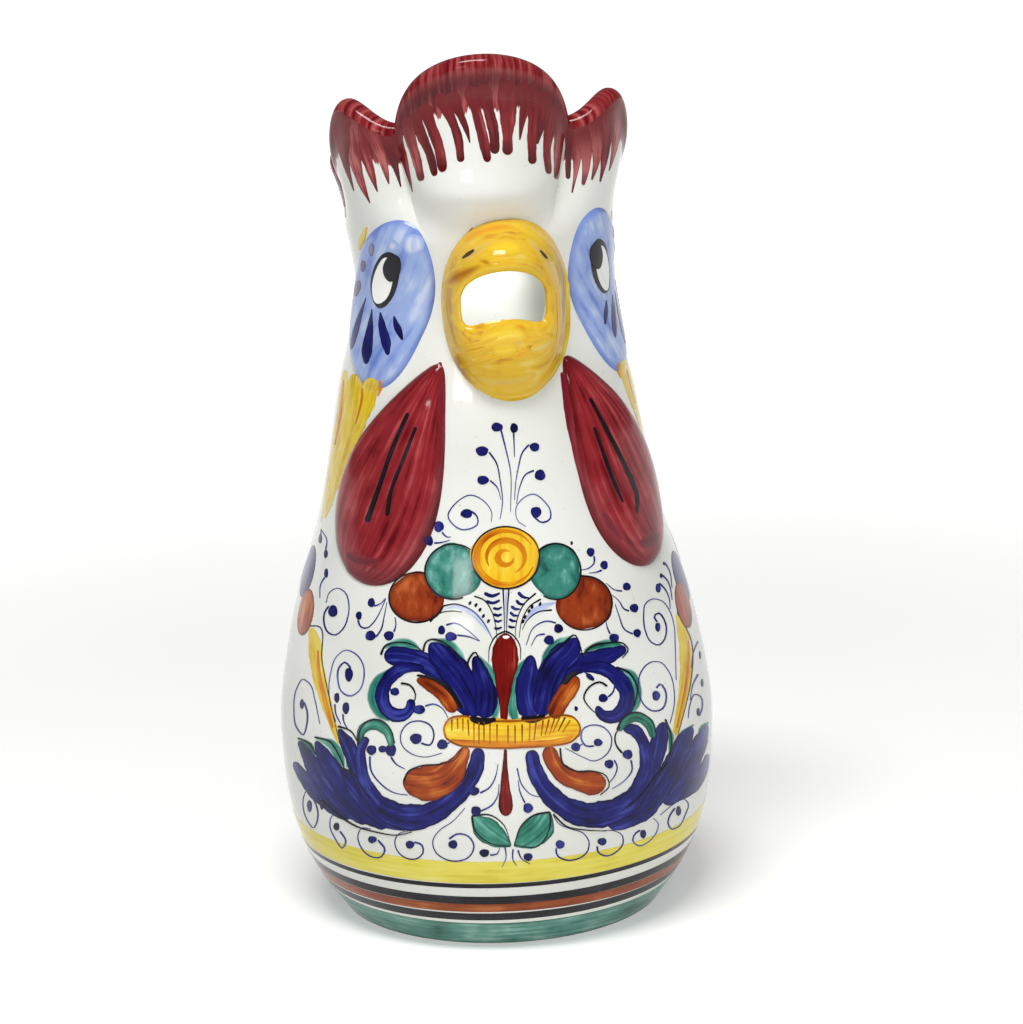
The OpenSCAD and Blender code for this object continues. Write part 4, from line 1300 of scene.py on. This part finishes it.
# Wattles: dark veins, and the heavy ends of the strokes
VEINS = [
    [(408, 413, 2), (394, 445, 2.2), (378, 490, 2.4), (367, 522, 3)],
    [(416, 427, 1.6), (403, 460, 1.8), (391, 492, 2), (387, 516, 2.4)],
    [(590, 398, 1.6), (608, 432, 2.2), (625, 466, 2.4), (636, 494, 2.4), (637, 513, 1.4)],
    [(594, 427, 1.2), (604, 455, 2), (614, 482, 2), (623, 502, 1.2)],
]
WATTLE_SHADES = [
    [(346, 553, 4), (356, 560, 5), (372, 562, 4), (382, 561, 2)],
    [(346, 568, 4), (356, 574, 4), (368, 574, 3)],
    [(640, 545, 5), (652, 540, 7), (659, 533, 4)],
    [(603, 512, 3), (612, 528, 4), (622, 540, 2)],
    [(440, 362, 2), (441, 400, 3), (441, 440, 3), (437, 480, 2)],
    [(562, 372, 2), (567, 410, 3), (574, 450, 3), (584, 486, 2)],
]


def paint_wattles():
    brush_all("veins", "shade", WATTLE_SHADES, FIRST)
    brush_all("veins", "black", VEINS, SECOND)


# Comb: strokes down from the rim, as points of the photograph with half widths
COMB_STROKES = [
    [(340, 112, 7), (341, 138, 7), (345, 160, 4), (354, 191, 0.5)],
    [(347, 106, 6), (350, 132, 6.4), (354, 158, 6), (361, 182, 4), (370, 203, 0.5)],
    [(354, 108, 6), (358, 128, 6), (364, 150, 6), (371, 172, 4), (377.5, 192, 0.6)],
    [(366, 116, 5), (371, 132, 6), (379, 150, 5), (385, 168, 3.4), (389, 184, 0.6)],
    [(383, 124, 5), (387, 142, 4.4), (395, 165, 3), (401, 187, 0.6)],
    [(397, 126, 4), (399, 142, 4), (406, 167, 3), (412.5, 192, 0.6)],
    [(406, 116, 4), (410, 138, 4.4), (416, 158, 4.4), (421.5, 181, 4)],
    [(414, 112, 4), (421, 134, 4), (430, 155, 4), (435, 176, 3.6)],
    [(423, 104, 5), (431, 126, 4.2), (439, 148, 5), (443, 172, 4.6)],
    [(438, 94, 6), (449, 114, 4), (458, 138, 4.2), (461, 162, 4)],
    [(450, 92, 6), (460, 114, 3.2), (466, 128, 2.6), (470, 143, 0.6)],
    [(470, 86, 6), (476, 110, 4), (483, 138, 5), (488, 162, 4)],
    [(482, 84, 6), (488, 108, 4.4), (494, 134, 5), (495, 154, 4.4)],
    [(508, 80, 6), (508, 100, 7.6), (508, 118, 7.4), (507.6, 135, 5.4), (507.6, 155, 5.4)],
    [(522, 82, 5), (525, 104, 4), (522, 122, 3), (519.7, 140, 0.6)],
    [(531, 84, 5), (533, 110, 4), (532, 138, 4.4), (532.5, 164, 4.4)],
    [(546, 90, 8), (543, 112, 5), (540, 128, 4), (537, 144, 1.4)],
    [(554, 104, 5), (550, 128, 4.4), (547, 150, 3.8), (549, 174, 3.4)],
    [(561, 108, 5), (560, 134, 4.6), (558, 158, 4), (557, 179.6, 3.2)],
    [(566, 116, 4), (568, 145, 3), (568, 179, 2)],
    [(573, 126, 4), (577, 150, 4), (576, 170, 2.4), (572, 193, 0.6)],
    [(583, 126, 5), (586, 150, 5), (586, 168, 3.4), (583, 185, 2)],
    [(594, 116, 5), (597, 142, 4.4), (596, 164, 3), (591.7, 180, 0.8)],
    [(605, 100, 6), (607, 132, 5), (604, 162, 3), (600, 182, 0.8)],
    [(614, 98, 5), (617, 130, 4), (613, 156, 2.4), (609, 171, 0.5)],
]
COMB_SPREAD_SHARES = (1.6, 1.35, 1.1, 1, 1)
BACK_DRIPS, BACK_FROM = 48, 80
DRIP_HIGH_SHARE, DRIP_LOW_SHARES, DRIP_PLACE_SHARES = 0.8, (0.12, 0.45), (0.2, 0.8)
DRIP_HALVES, DRIP_SWAY, DRIP_BEND_SHARE, DRIP_TIP_SHARE = (1.0, 1.8), 1, 0.6, 0.3
DRIP_COATS = 1.5


def paint_comb():
    for points in COMB_STROKES:
        wide = [(x, y, half * share) for (x, y, half), share in zip(points, COMB_SPREAD_SHARES)]
        brush("drips", "comb", wide, FIRST + draws.uniform(0, DRIP_COATS))
    for k in range(BACK_DRIPS):
        turn = (360 - 2 * BACK_FROM) * (k + draws.uniform(*DRIP_PLACE_SHARES)) / BACK_DRIPS
        a = BACK_FROM + turn + COMB_TURN
        rim = COLLAR_Z + float(rim_h(fold(a - COMB_TURN)))
        high = mix(COLLAR_Z, rim, DRIP_HIGH_SHARE)
        low = mix(COLLAR_Z, rim, draws.uniform(*DRIP_LOW_SHARES))
        half = draws.uniform(*DRIP_HALVES)
        bend = (a + draws.uniform(-DRIP_SWAY, DRIP_SWAY), mix(high, low, DRIP_BEND_SHARE), half)
        points = [(a, high, half), bend, (a, low, DRIP_TIP_SHARE * half)]
        surface_brush("drips_back", "comb", points, FIRST + draws.uniform(0, DRIP_COATS))


# Vessel: outer wall, inner wall and floor, with rings of faces round the pouring hole
def hole_point(p):
    u, v = np.cos(np.radians(p)), np.sin(np.radians(p))
    sill = HOLE_DOWN * power(v, HOLE_SILL_SHARE) + SILL_RISE * v ** 4
    x = HOLE_W / 2 * np.where(v > 0, u, power(u, HOLE_SIDE_SHARE))
    return x, HOLE_Z + np.where(v > 0, HOLE_UP * v, sill)


def root_point(p):
    c, s = np.cos(np.radians(p)), np.sin(np.radians(p))
    x = BEAK_SIDE + BEAK_W / 2 * power(c, 2 / BEAK_ROUND_SHARE)
    return x, BEAK_Z + BEAK_H / 2 * power(s, 2 / BEAK_ROUND_SHARE)


def throat_share(p):
    """Where the beak's hollow meets the wall, between the hole's edge and the beak's root."""
    return mix(THROAT_SHARE, THROAT_TOP_SHARE, np.maximum(0, np.sin(np.radians(p))) ** 2)


def beak_spot(p, s):
    x0, z0 = hole_point(p)
    x1, z1 = root_point(p)
    return mix(x0, x1, s), mix(z0, z1, s)


def wall_grid(levels, inset, window):
    """Rows of the wall at these heights, its faces, and the border of the window left open at the front."""
    angles = np.arange(TURN_STEPS) * 360 / TURN_STEPS
    verts = polar((wall_r(levels) - inset)[:, None], angles[None, :], levels[:, None]).reshape(-1, 3)
    wide, low, high = window
    first, last = np.searchsorted(levels, (low, high))
    half = int(round(wide * TURN_STEPS / 360))
    faces = []
    for quad in quads(len(levels), TURN_STEPS, True):
        row, col = divmod(quad[0], TURN_STEPS)
        off = (col + half) % TURN_STEPS
        if not (first <= row < last and off < 2 * half):
            faces.append(quad)
    cols = [(k - half) % TURN_STEPS for k in range(2 * half + 1)]
    border = [(first, c) for c in cols] + [(r, cols[-1]) for r in range(first + 1, last + 1)]
    border += [(last, c) for c in cols[-2::-1]] + [(r, cols[0]) for r in range(last - 1, first, -1)]
    return verts, faces, [r * TURN_STEPS + c for r, c in border]


def hole_ring(verts, border, inset):
    """Rows of points from the window's border in to the edge of the hole, along the wall."""
    edge = verts[border]
    p = np.degrees(np.arctan2((edge[:, 2] - HOLE_Z) / HOLE_UP, edge[:, 0] / (HOLE_W / 2)))
    x1, z1 = beak_spot(p, throat_share(p))
    rows = []
    for k in range(1, RING_ROWS + 1):
        t = k / RING_ROWS
        x, z = mix(edge[:, 0], x1, t), mix(edge[:, 2], z1, t)
        r = wall_r(z) - inset
        rows.append(np.stack([x, -np.sqrt(r * r - x * x), z], -1))
    return rows


# Window in the wall round the hole: half its angle, its lowest and its highest row
WINDOW = (30, 168, 196.5)


def make_vessel():
    inner_foot_z = FLOOR_T + FLOOR_FILLET
    inner_foot_r = float(wall_r(inner_foot_z)) - WALL - FLOOR_FILLET
    verts, faces, loops = [], [], []
    count = 0
    for inset, low, rows in ((0, FOOT_CHAMFER, WALL_ROWS), (WALL, inner_foot_z, INNER_ROWS)):
        levels = np.linspace(low, COLLAR_Z, rows)
        grid, grid_faces, border = wall_grid(levels, inset, WINDOW)
        rings = hole_ring(grid, border, inset)
        n = len(border)
        ids = [np.array(border)] + [len(grid) + k * n + np.arange(n) for k in range(RING_ROWS)]
        for a, b in zip(ids[:-1], ids[1:]):
            grid_faces += bridge(a, b)
        part = np.concatenate([grid] + rings)
        verts.append(part)
        faces += (np.array(grid_faces) + count).tolist()
        loops.append({"hole": ids[-1] + count, "low": np.arange(TURN_STEPS) + count,
                      "top": (rows - 1) * TURN_STEPS + np.arange(TURN_STEPS) + count})
        count += len(part)
    outer, inner = loops
    tunnel = outer["hole"][[np.argmin(np.linalg.norm(verts[0][outer["hole"]][:, ::2] - q, axis=1))
                            for q in verts[1][inner["hole"] - len(verts[0])][:, ::2]]]
    faces += bridge(inner["hole"], tunnel) + bridge(outer["top"], inner["top"])
    turn = np.arange(TURN_STEPS) * 360 / TURN_STEPS
    ring = inner["low"]
    for k in range(1, FILLET_STEPS + 1):
        a = math.radians(90 * k / FILLET_STEPS)
        r, z = inner_foot_r + FLOOR_FILLET * math.cos(a), inner_foot_z - FLOOR_FILLET * math.sin(a)
        verts.append(polar(r, turn, z))
        step = count + np.arange(TURN_STEPS)
        faces += bridge(ring, step)
        ring, count = step, count + TURN_STEPS
    foot = count + np.arange(TURN_STEPS)
    verts.append(polar(FOOT_R - FOOT_CHAMFER, turn, 0))
    count += TURN_STEPS
    faces += bridge(outer["low"], foot)
    verts.append(np.array([(0, 0, FLOOR_T), (0, 0, 0)], float))
    faces += [[int(a), int(b), count] for a, b in zip(ring, np.roll(ring, -1))]
    faces += [[int(a), int(b), count + 1] for a, b in zip(foot, np.roll(foot, -1))]
    make_piece("vessel", np.concatenate(verts), faces, GLAZE, ["vessel"])


# Comb: fluted wall on the collar with a rounded lip
FRONT_COAT_SHARE, SIDE_COAT_SHARE = 0.72, 0.65
COAT_INSIDE = 6
COMB_STREAKS, COMB_ROUGH = (0.06, 0.7, 1), 0.6
COMB_RED, COMB_PALE, COMB_DEEP = srgb(124, 20, 28), srgb(174, 82, 82), srgb(80, 4, 10)
COMB_PALE_BAND, COMB_DEEP_BAND = (0.43, 0.7), (0.48, 0.3)
# Painted shade under the rolled lip: its colour, its strength, and the depths below the rim where it fades in
# and out
COMB_LIP_SHADE, LIP_SHADE_SHARE = srgb(72, 4, 10), 0.7
LIP_SHADE_UPPER, LIP_SHADE_LOWER = (8.0, 11.0), (18.0, 12.0)
COMB_RAGGED, COMB_BORDER = 9.0, 0.4


def comb_columns():
    edges = (0, FRONT_EDGE, SIDE_EDGE, REAR_EDGE, 180)
    lobes = zip(edges, edges[1:], LOBE_COLUMNS)
    half = np.concatenate([np.linspace(a, b, n, endpoint=False) for a, b, n in lobes])
    return np.concatenate([half, [180], 360 - half[:0:-1]])


def comb_side(angles, inner):
    """Rows of the comb's outer or inner face, from the collar up and round half of the lip."""
    top = COLLAR_Z + rim_h(fold(angles)) - LIP_R
    rows = []
    for k in range(COMB_ROWS + LIP_ROWS + 1):
        z = mix(COLLAR_Z, top, min(1, k / COMB_ROWS))
        turn = math.radians(90 * max(0, k - COMB_ROWS) / LIP_ROWS)
        a = comb_angle(angles, z)
        r = comb_r(a, z) + lip_swell(top - z, z)
        if inner:
            r = r - mix(WALL, 2 * LIP_R, smooth((z - COLLAR_Z) / (top - COLLAR_Z)))
            r = r + LIP_R * (1 - math.cos(turn)) * LIP_CREST_SHARE
        else:
            r = r - LIP_R * (1 - math.cos(turn))
        rows.append(polar(r, a, z + LIP_R * math.sin(turn)))
    return np.array(rows)


def comb_glaze():
    """White glaze with a red coat along the rim, ragged at its border, and painted shade: darkest red under the
    rolled lip.
    """
    shader = Shader("comb_red")
    streaks = shader.noise(shader.stretched(shader.brush(), COMB_STREAKS), 1.0, 3.0, COMB_ROUGH)
    red = shader.blend(shader.fade(streaks, *COMB_PALE_BAND), COMB_RED, COMB_PALE)
    red = shader.blend(shader.fade(streaks, *COMB_DEEP_BAND), red, COMB_DEEP)
    depth = shader.math("ADD", shader.mark("depth"), shader.math("MULTIPLY", streaks, COMB_RAGGED))
    # Painted shade: a darker band of red under the rolled lip
    lip_shade = shader.math("MULTIPLY", shader.fade(depth, *LIP_SHADE_UPPER), shader.fade(depth, *LIP_SHADE_LOWER))
    red = shader.blend(shader.math("MULTIPLY", lip_shade, LIP_SHADE_SHARE), red, COMB_LIP_SHADE)
    stray = shader.math("MULTIPLY", shader.math("SUBTRACT", streaks, 0.5), COMB_RAGGED)
    ragged = shader.math("ADD", shader.mark("coat"), stray)
    coated = shader.fade(ragged, -COMB_BORDER, COMB_BORDER)
    return shader.finish(shader.blend(coated, clouded_white(shader), red))


def make_comb():
    angles = comb_columns()
    outer, inner = comb_side(angles, False), comb_side(angles, True)
    verts, faces = closed_skin(outer, inner, True)
    rim = COLLAR_Z + rim_h(fold(angles))
    share = np.where(fold(angles) < FRONT_EDGE, FRONT_COAT_SHARE, SIDE_COAT_SHARE)
    coat = np.concatenate([outer[..., 2] - mix(COLLAR_Z, rim, share), inner[..., 2] - rim + COAT_INSIDE])
    depth = np.concatenate([rim - outer[..., 2], 0 * inner[..., 2]])
    signed = np.where(angles > 180, angles - 360, angles)
    girth = np.broadcast_to(np.radians(signed) * CREST_R, outer.shape[:2])
    strokes = np.stack([verts[:, 2], twice(girth.ravel())], -1)
    make_piece("comb", verts, faces, comb_glaze(), ["comb"], brush=strokes,
               marks={"coat": coat.ravel(), "depth": depth.ravel()})


# Beak: a ring round the hole in two halves, from the hole's edge at 0 to its root on the wall at 1
def front_y(x, z):
    r = np.where(z > COLLAR_Z, comb_r(np.degrees(np.arcsin(x / wall_r(z))), z), wall_r(z))
    return -np.sqrt(r * r - x * x)


def beak_lift(p, s):
    v = np.sin(np.radians(p))
    reach = mix(CORNER_REACH, np.where(v > 0, UPPER_REACH, LOWER_REACH), v * v)
    lip = 1 - np.clip(s / BEAK_LIP_SHARE, 0, 1)
    swell = mix(BEAK_SIDE_SHARE, BEAK_RIDGE_SHARE, v * v)
    return mix(RELIEF_EDGE, reach, 1 - s ** swell) - LIP_DROP * lip * lip


def on_beak(p, s, lift=None):
    x, z = beak_spot(p, s)
    rise = beak_lift(p, s) if lift is None else lift + 0 * s
    return np.stack([x, front_y(x, z) - rise, z], -1)


def make_beak_half(name, start, end, material):
    steps = int(round(BEAK_STEPS * (end - start) / 360))
    p = np.linspace(start, end, steps + 1)[None, :]
    s = np.linspace(0, 1, BEAK_ROWS + 1)[:, None]
    p, s = np.broadcast_arrays(p, s)
    verts, faces = closed_skin(on_beak(p, s), on_beak(p, mix(throat_share(p), 1, s), -SINK), False)
    strokes = np.stack([p.ravel() * BEAK_ARC, s.ravel() * BEAK_BAND], -1)
    edge = (1 - s.ravel()) * BEAK_BAND
    make_piece(name, verts, faces, material, [name], brush=twice(strokes),
               marks={"edge": twice(edge), "seed": np.zeros(len(verts))})


# Painting on the beak: strokes in the photograph's pixels, as for the skin
BEAK_ARCS = [
    ("ochre", [(453, 258, 3), (451, 280, 5), (450, 305, 5), (452, 330, 4), (456, 350, 3)]),
    ("ochre", [(454, 350, 3), (457, 362, 7), (464, 374, 7), (476, 386, 3)]),
    ("ochre", [(530, 368, 2), (541, 366, 4), (551, 358, 4), (557, 346, 2)]),
    ("straw", [(470, 376, 3), (492, 382, 5), (516, 381, 5), (536, 374, 3)]),
    ("straw", [(462, 262, 4), (474, 253, 7), (486, 245, 5), (496, 240, 3)]),
    ("straw", [(526, 238, 4), (540, 250, 7), (551, 268, 6), (557, 288, 4)]),
    ("tan", [(463, 242, 3), (476, 233, 5), (492, 228, 5), (508, 227, 4), (520, 231, 2.4)]),
    ("sun", [(514, 224, 3), (531, 233, 5), (547, 246, 5), (559, 262, 4), (565, 282, 3)]),
    ("ochre", [(494, 240, 2), (505, 237, 4), (518, 240, 3)]),
    ("sun", [(486, 250, 4), (499, 248, 8), (512, 247, 8), (523, 249, 4)]),
    ("ochre", [(447, 286, 5), (455, 279, 9), (468, 272, 8), (484, 264, 4)]),
    ("smudge", [(478, 260, 2), (485, 261.6, 4), (492, 265, 2)]),
    ("sun", [(452, 304, 3), (461, 291, 4.6), (476, 279, 5), (495, 270.6, 4), (516, 268, 4),
     (534, 272, 3.4), (545, 284, 3)]),
    ("ochre", [(446, 300, 1.6), (448, 318, 2.6), (447, 334, 2)]),
    ("sun", [(452, 313, 3), (457, 323, 5), (464, 331, 3)]),
    ("ochre", [(557, 292, 1.6), (560, 308, 2.8), (560, 328, 2.4), (557, 344, 1.6)]),
    ("sun", [(549, 311, 3), (552, 323, 4), (547, 333, 3)]),
    ("sun", [(480, 343, 6), (497, 336, 10), (514, 333, 10), (526, 338, 5)]),
    ("sun", [(492, 350, 5), (505, 350, 8), (517, 347, 5)]),
    ("tan", [(514, 325, 2.6), (522, 327, 4), (527, 334, 2)]),
    ("ochre", [(452, 346, 1.6), (470, 346, 2.6), (486, 342, 2.4), (498, 337, 1)]),
    ("ochre", [(450, 354, 1.6), (468, 354, 2.6), (485, 349, 2.2), (495, 345, 1)]),
    ("ochre", [(460, 366, 2), (476, 364, 3.2), (492, 359, 3), (502, 356, 1.4)]),
    ("tan", [(512, 358, 2), (519, 355, 4), (528, 350, 1.6)]),
    ("ochre", [(526, 343, 2), (537, 341, 4), (550, 336, 2)]),
    ("straw", [(530, 350, 4), (543, 347, 6), (555, 338, 3.4)]),
    ("nostril", [(462, 258, 0.9), (468, 253.6, 1.7), (474, 249.6, 1)]),
    ("nostril", [(540, 250, 0.8), (543.6, 254, 1.3), (547.4, 258.4, 0.8)]),
]
BEAK_FRINGE = [
    (539, 236, 2), (554, 249, 3), (563, 270, 3), (567, 294, 3), (567.6, 312, 3), (565.6, 340, 3),
    (558, 362, 3.4), (545, 381, 3.4), (529, 394, 3), (512, 399, 2.4), (490, 395, 2),
]
BEAK_SPROUT = [(464, 241, 0.8), (468, 234, 1.2), (473, 227, 0.4)]
BEAK_LANES, BEAK_STEP_PX = 7, 2.0
BEAK_COAT_STEP = 0.3
BEAK_MARKS = 61
MOST_TURN, MOST_SHARE = 4, 0.1
beak_p, beak_s = np.meshgrid(np.arange(360.0), np.linspace(0, 1, BEAK_MARKS))
beak_pixels = to_pixels(on_beak(beak_p, beak_s)).reshape(-1, 2)


def under_beak(pixels):
    """Angle and share of the spots of the beak that show at these pixels."""
    nearest = [int(np.argmin(((beak_pixels - q) ** 2).sum(1))) for q in pixels]
    p, s = beak_p.ravel()[nearest], beak_s.ravel()[nearest]
    for _ in range(BEAK_PASSES):
        s = np.clip(s, SHARE_PROBE, 1 - SHARE_PROBE)
        by_p = (to_pixels(on_beak(p + PROBE, s)) - to_pixels(on_beak(p - PROBE, s))) / (2 * PROBE)
        outward, inward = to_pixels(on_beak(p, s + SHARE_PROBE)), to_pixels(on_beak(p, s - SHARE_PROBE))
        by_s = (outward - inward) / (2 * SHARE_PROBE)
        jacobian = np.stack([by_p, by_s], -1)
        across = np.swapaxes(jacobian, -1, -2)
        miss = (pixels - to_pixels(on_beak(p, s)))[..., None]
        step = (np.linalg.inv(across @ jacobian + DAMP * np.eye(2)) @ across @ miss)[..., 0]
        p = p + np.clip(step[:, 0], -MOST_TURN, MOST_TURN)
        s = s + np.clip(step[:, 1], -MOST_SHARE, MOST_SHARE)
    return p, np.clip(s, 0, 1)


def beak_brush(colour, points, coat):
    """A brush stroke on the beak along pixels of the photograph, each x, y and half width."""
    samples, side, full, half = stroke_shape(points, BEAK_STEP_PX)
    v = np.linspace(-1, 1, BEAK_LANES)
    spots = samples[:, None, :2] + side[:, None] * (half[:, None] * v)[..., None]
    p, s = under_beak(spots.reshape(-1, 2))
    p, s = p.reshape(half.size, v.size), s.reshape(half.size, v.size)
    spans = np.linalg.norm(np.diff(samples[:, :2], axis=0), axis=1) * PIXEL
    _, strokes, edge = ribbon_marks(spans, v, full * PIXEL, half * PIXEL)
    rise = beak_lift(p, s)
    lift = coat_lift(coat)
    gather("beak", colour, on_beak(p, s, rise + lift), on_beak(p, s, rise - SINK), strokes, edge)


def paint_beak():
    brush("fringe", "hackle", BEAK_FRINGE)
    brush("fringe", "amber", BEAK_SPROUT)
    for k, (colour, points) in enumerate(BEAK_ARCS):
        beak_brush(colour, points, FIRST + BEAK_COAT_STEP * k)


# Relief pads: their meshes, with brush streaks straight or along the outline
PAD_SEED = 7.0


def along_outline(pad, x, y):
    """How far across a pad each spot is, as if the pad were as wide everywhere as in its middle."""
    s = power(np.clip(2 * y / pad["h"], -1, 1), 1 / pad["square"])
    half_share = power(np.sqrt(1 - s * s), pad["square"]) * (1 + pad["taper"] * s)
    return x / np.maximum(half_share, SHORT)


def make_pad(name, pad, side, material, flow_share):
    u, v = disc_grid(PAD_CELLS)
    share = np.hypot(u, v)
    a, z = pad_spot(pad, side, u, v)
    r = outer_r(a, z)
    verts, faces = closed_skin(polar(r + pad_rise(pad, share), a, z), polar(r - SINK, a, z), False)
    x, y = pad_outline(pad, u, v)
    across = mix(x, along_outline(pad, x, y), flow_share)
    local = np.stack([y.ravel(), side * across.ravel()], -1)
    edge = ((1 - share) * pad["w"] / 2).ravel()
    make_piece(name, verts, faces, material, [name], brush=twice(local),
               marks={"edge": twice(edge), "seed": np.full(len(verts), PAD_SEED * side)})


# Handle: an oval strap swept along an ear-shaped curve behind the wall
def handle_frame(t):
    start, end = float(wall_r(HANDLE_TOP_Z)), float(wall_r(HANDLE_FOOT_Z))
    pull = (HANDLE_REACH - HANDLE_T / 2 - (start + end) / 8) * 4 / 3
    c = np.array([(start, HANDLE_TOP_Z), (pull, HANDLE_TOP_Z + HANDLE_RISE), (pull, HANDLE_FOOT_Z),
                  (end, HANDLE_FOOT_Z)])
    u = 1 - t
    centre = u ** 3 * c[0] + 3 * u * u * t * c[1] + 3 * u * t * t * c[2] + t ** 3 * c[3]
    run = u * u * (c[1] - c[0]) + 2 * u * t * (c[2] - c[1]) + t * t * (c[3] - c[2])
    return centre, run / np.linalg.norm(run)


def handle_ring(t, angles):
    centre, run = handle_frame(t)
    fade = math.exp(-(t / HANDLE_FLARE_SHARE) ** 2) + math.exp(-((1 - t) / HANDLE_FLARE_SHARE) ** 2)
    grow = HANDLE_FLARE * fade
    x = (HANDLE_W + grow) / 2 * np.cos(angles)
    q = (HANDLE_T + grow) / 2 * np.sin(angles)
    y, z = centre[0] - run[1] * q, centre[1] + run[0] * q
    seat = np.sqrt(wall_r(z) ** 2 - x * x) - SINK
    return np.stack([x, seat if t in (0, 1) else np.maximum(y, seat), z], -1)


def make_handle():
    angles = np.arange(HANDLE_SIDES) * 2 * math.pi / HANDLE_SIDES
    rings = np.array([handle_ring(k / HANDLE_RINGS, angles) for k in range(HANDLE_RINGS + 1)])
    verts = rings.reshape(-1, 3)
    faces = quads(HANDLE_RINGS + 1, HANDLE_SIDES, True)
    faces += [list(range(HANDLE_SIDES)), list(range(len(verts) - HANDLE_SIDES, len(verts)))]
    make_piece("handle", verts, faces, GLAZE, ["handle"])


# Floor, light and camera
FLOOR_WHITE, PURE_WHITE = (0.9, 0.9, 0.89, 1), (1, 1, 1, 1)
FLOOR_HALF, CLIP_END = 30, 100
NEAR_GLOW, FAR_GLOW = 0.3, 0.85
GLOW_NEAR, GLOW_FAR = 0.25, 0.9
WORLD_STRENGTH = 0.25
SOFTBOX_TARGET = (0, 0, 0.12)
SOFTBOXES = [
    ("key", (-0.25, -0.62, 1.5), (0.7, 0.3), 16, True),
    ("window", (-0.55, -1.16, 0.52), (0.3, 0.05), 1, True),
    ("front", (0.35, -1.35, 0.22), (0.7, 0.7), 4.9, False),
]
SNOOT, SNOOT_BLEND = ("mouth", (0, -0.5, 1.4), (0, -0.012, 0.24), 1.9, 380), 0.5


def make_stage():
    shader = Shader("floor_white")
    shader.glaze.inputs["Base Color"].default_value = FLOOR_WHITE
    shader.glaze.inputs["Roughness"].default_value = 1.0
    shader.glaze.inputs["Specular IOR Level"].default_value = 0.0
    shader.glaze.inputs["Emission Color"].default_value = PURE_WHITE
    path = shader.add("ShaderNodeLightPath")
    seen = shader.math("MAXIMUM", path.outputs["Is Camera Ray"], path.outputs["Is Glossy Ray"])
    seen = shader.math("MAXIMUM", seen, path.outputs["Is Transmission Ray"])
    away = shader.add("ShaderNodeVectorMath", {0: shader.place()}, operation="LENGTH").outputs["Value"]
    glow = shader.fade(away, GLOW_NEAR, GLOW_FAR, NEAR_GLOW, FAR_GLOW)
    shader.tree.links.new(shader.math("MULTIPLY", seen, glow), shader.glaze.inputs["Emission Strength"])
    mesh = bpy.data.meshes.new("floor")
    corners = [(x * FLOOR_HALF, y * FLOOR_HALF, 0) for x, y in ((-1, -1), (1, -1), (1, 1), (-1, 1))]
    mesh.from_pydata(corners, [], [(0, 1, 2, 3)])
    mesh.materials.append(shader.material)
    floor = bpy.data.objects.new("floor", mesh)
    bpy.context.scene.collection.objects.link(floor)


def hang_lamp(data, place, target, mirrored=True):
    lamp = bpy.data.objects.new(data.name, data)
    lamp.visible_glossy = mirrored
    lamp.location = place
    lamp.rotation_euler = (Vector(target) - Vector(place)).to_track_quat("-Z", "Y").to_euler()
    bpy.context.scene.collection.objects.link(lamp)


def make_softbox(name, place, size, watts, mirrored):
    """A soft rectangular lamp, with or without a reflection in the glaze."""
    data = bpy.data.lights.new(name, "AREA")
    data.shape = "RECTANGLE"
    data.size, data.size_y = size
    data.energy = watts
    hang_lamp(data, place, SOFTBOX_TARGET, mirrored)


def make_snoot(name, place, target, angle, watts):
    """A narrow lamp into the mouth of the pitcher."""
    data = bpy.data.lights.new(name, "SPOT")
    data.spot_size = math.radians(angle)
    data.spot_blend = SNOOT_BLEND
    data.energy = watts
    hang_lamp(data, place, target)


def make_light():
    world = bpy.data.worlds.new("studio")
    bpy.context.scene.world = world
    world.use_nodes = True
    sky = world.node_tree.nodes["Background"]
    sky.inputs["Color"].default_value = PURE_WHITE
    sky.inputs["Strength"].default_value = WORLD_STRENGTH
    for softbox in SOFTBOXES:
        make_softbox(*softbox)
    make_snoot(*SNOOT)


def make_camera():
    data = bpy.data.cameras.new("camera")
    data.sensor_width = SENSOR
    data.lens = FOCAL_PX * SENSOR / max(IMAGE_W, IMAGE_H)
    data.clip_end = CLIP_END
    camera = bpy.data.objects.new("camera", data)
    rows = [[RIGHT[k], UP[k], -AHEAD[k], EYE[k] * MM] for k in range(3)] + [[0, 0, 0, 1]]
    camera.matrix_world = Matrix(rows)
    bpy.context.scene.collection.objects.link(camera)
    bpy.context.scene.camera = camera


# Paint of the relief pieces, then the pieces, the painting, the stage, the light and the camera
WATTLE_RED = paint("wattle_red", srgb(92, 8, 16), srgb(142, 34, 42), srgb(178, 76, 78), edge=3.0,
                   streak=(0.03, 0.6), wash=0.65)
CHEEK_BLUE = paint("cheek_blue", srgb(108, 132, 204), PATCH_BLUE, srgb(192, 206, 232), edge=1.8,
                   streak=(0.04, 0.4))
BEAK_YELLOW = paint("beak_yellow", srgb(208, 146, 38), BEAK_GROUND, srgb(236, 204, 96), edge=0)
TURNED = ("acanthus", "scrolls", "buckle", "curls", "stalks")

make_vessel()
make_comb()
make_beak_half("upper_beak", -MOUTH_ANGLE, 180 + MOUTH_ANGLE, BEAK_YELLOW)
make_beak_half("lower_beak", 180 + MOUTH_ANGLE, 360 - MOUTH_ANGLE, BEAK_YELLOW)
for side, word in ((-1, "left"), (1, "right")):
    make_pad(word + "_cheek", CHEEK, side, CHEEK_BLUE, 0)
    make_pad(word + "_wattle", WATTLE, side, WATTLE_RED, 1)
make_handle()
paint_foot()
sprig_all("spray", SPRAY)
paint_flowers()
paint_fan()
paint_acanthus()
paint_scrolls()
paint_middle()
paint_buckle()
paint_sides()
paint_hackles()
paint_eyes()
paint_wattles()
paint_comb()
paint_beak()
hang_painting(TURNED)
make_stage()
make_light()
make_camera()

view = bpy.context.scene.view_settings
view.view_transform = "Standard"
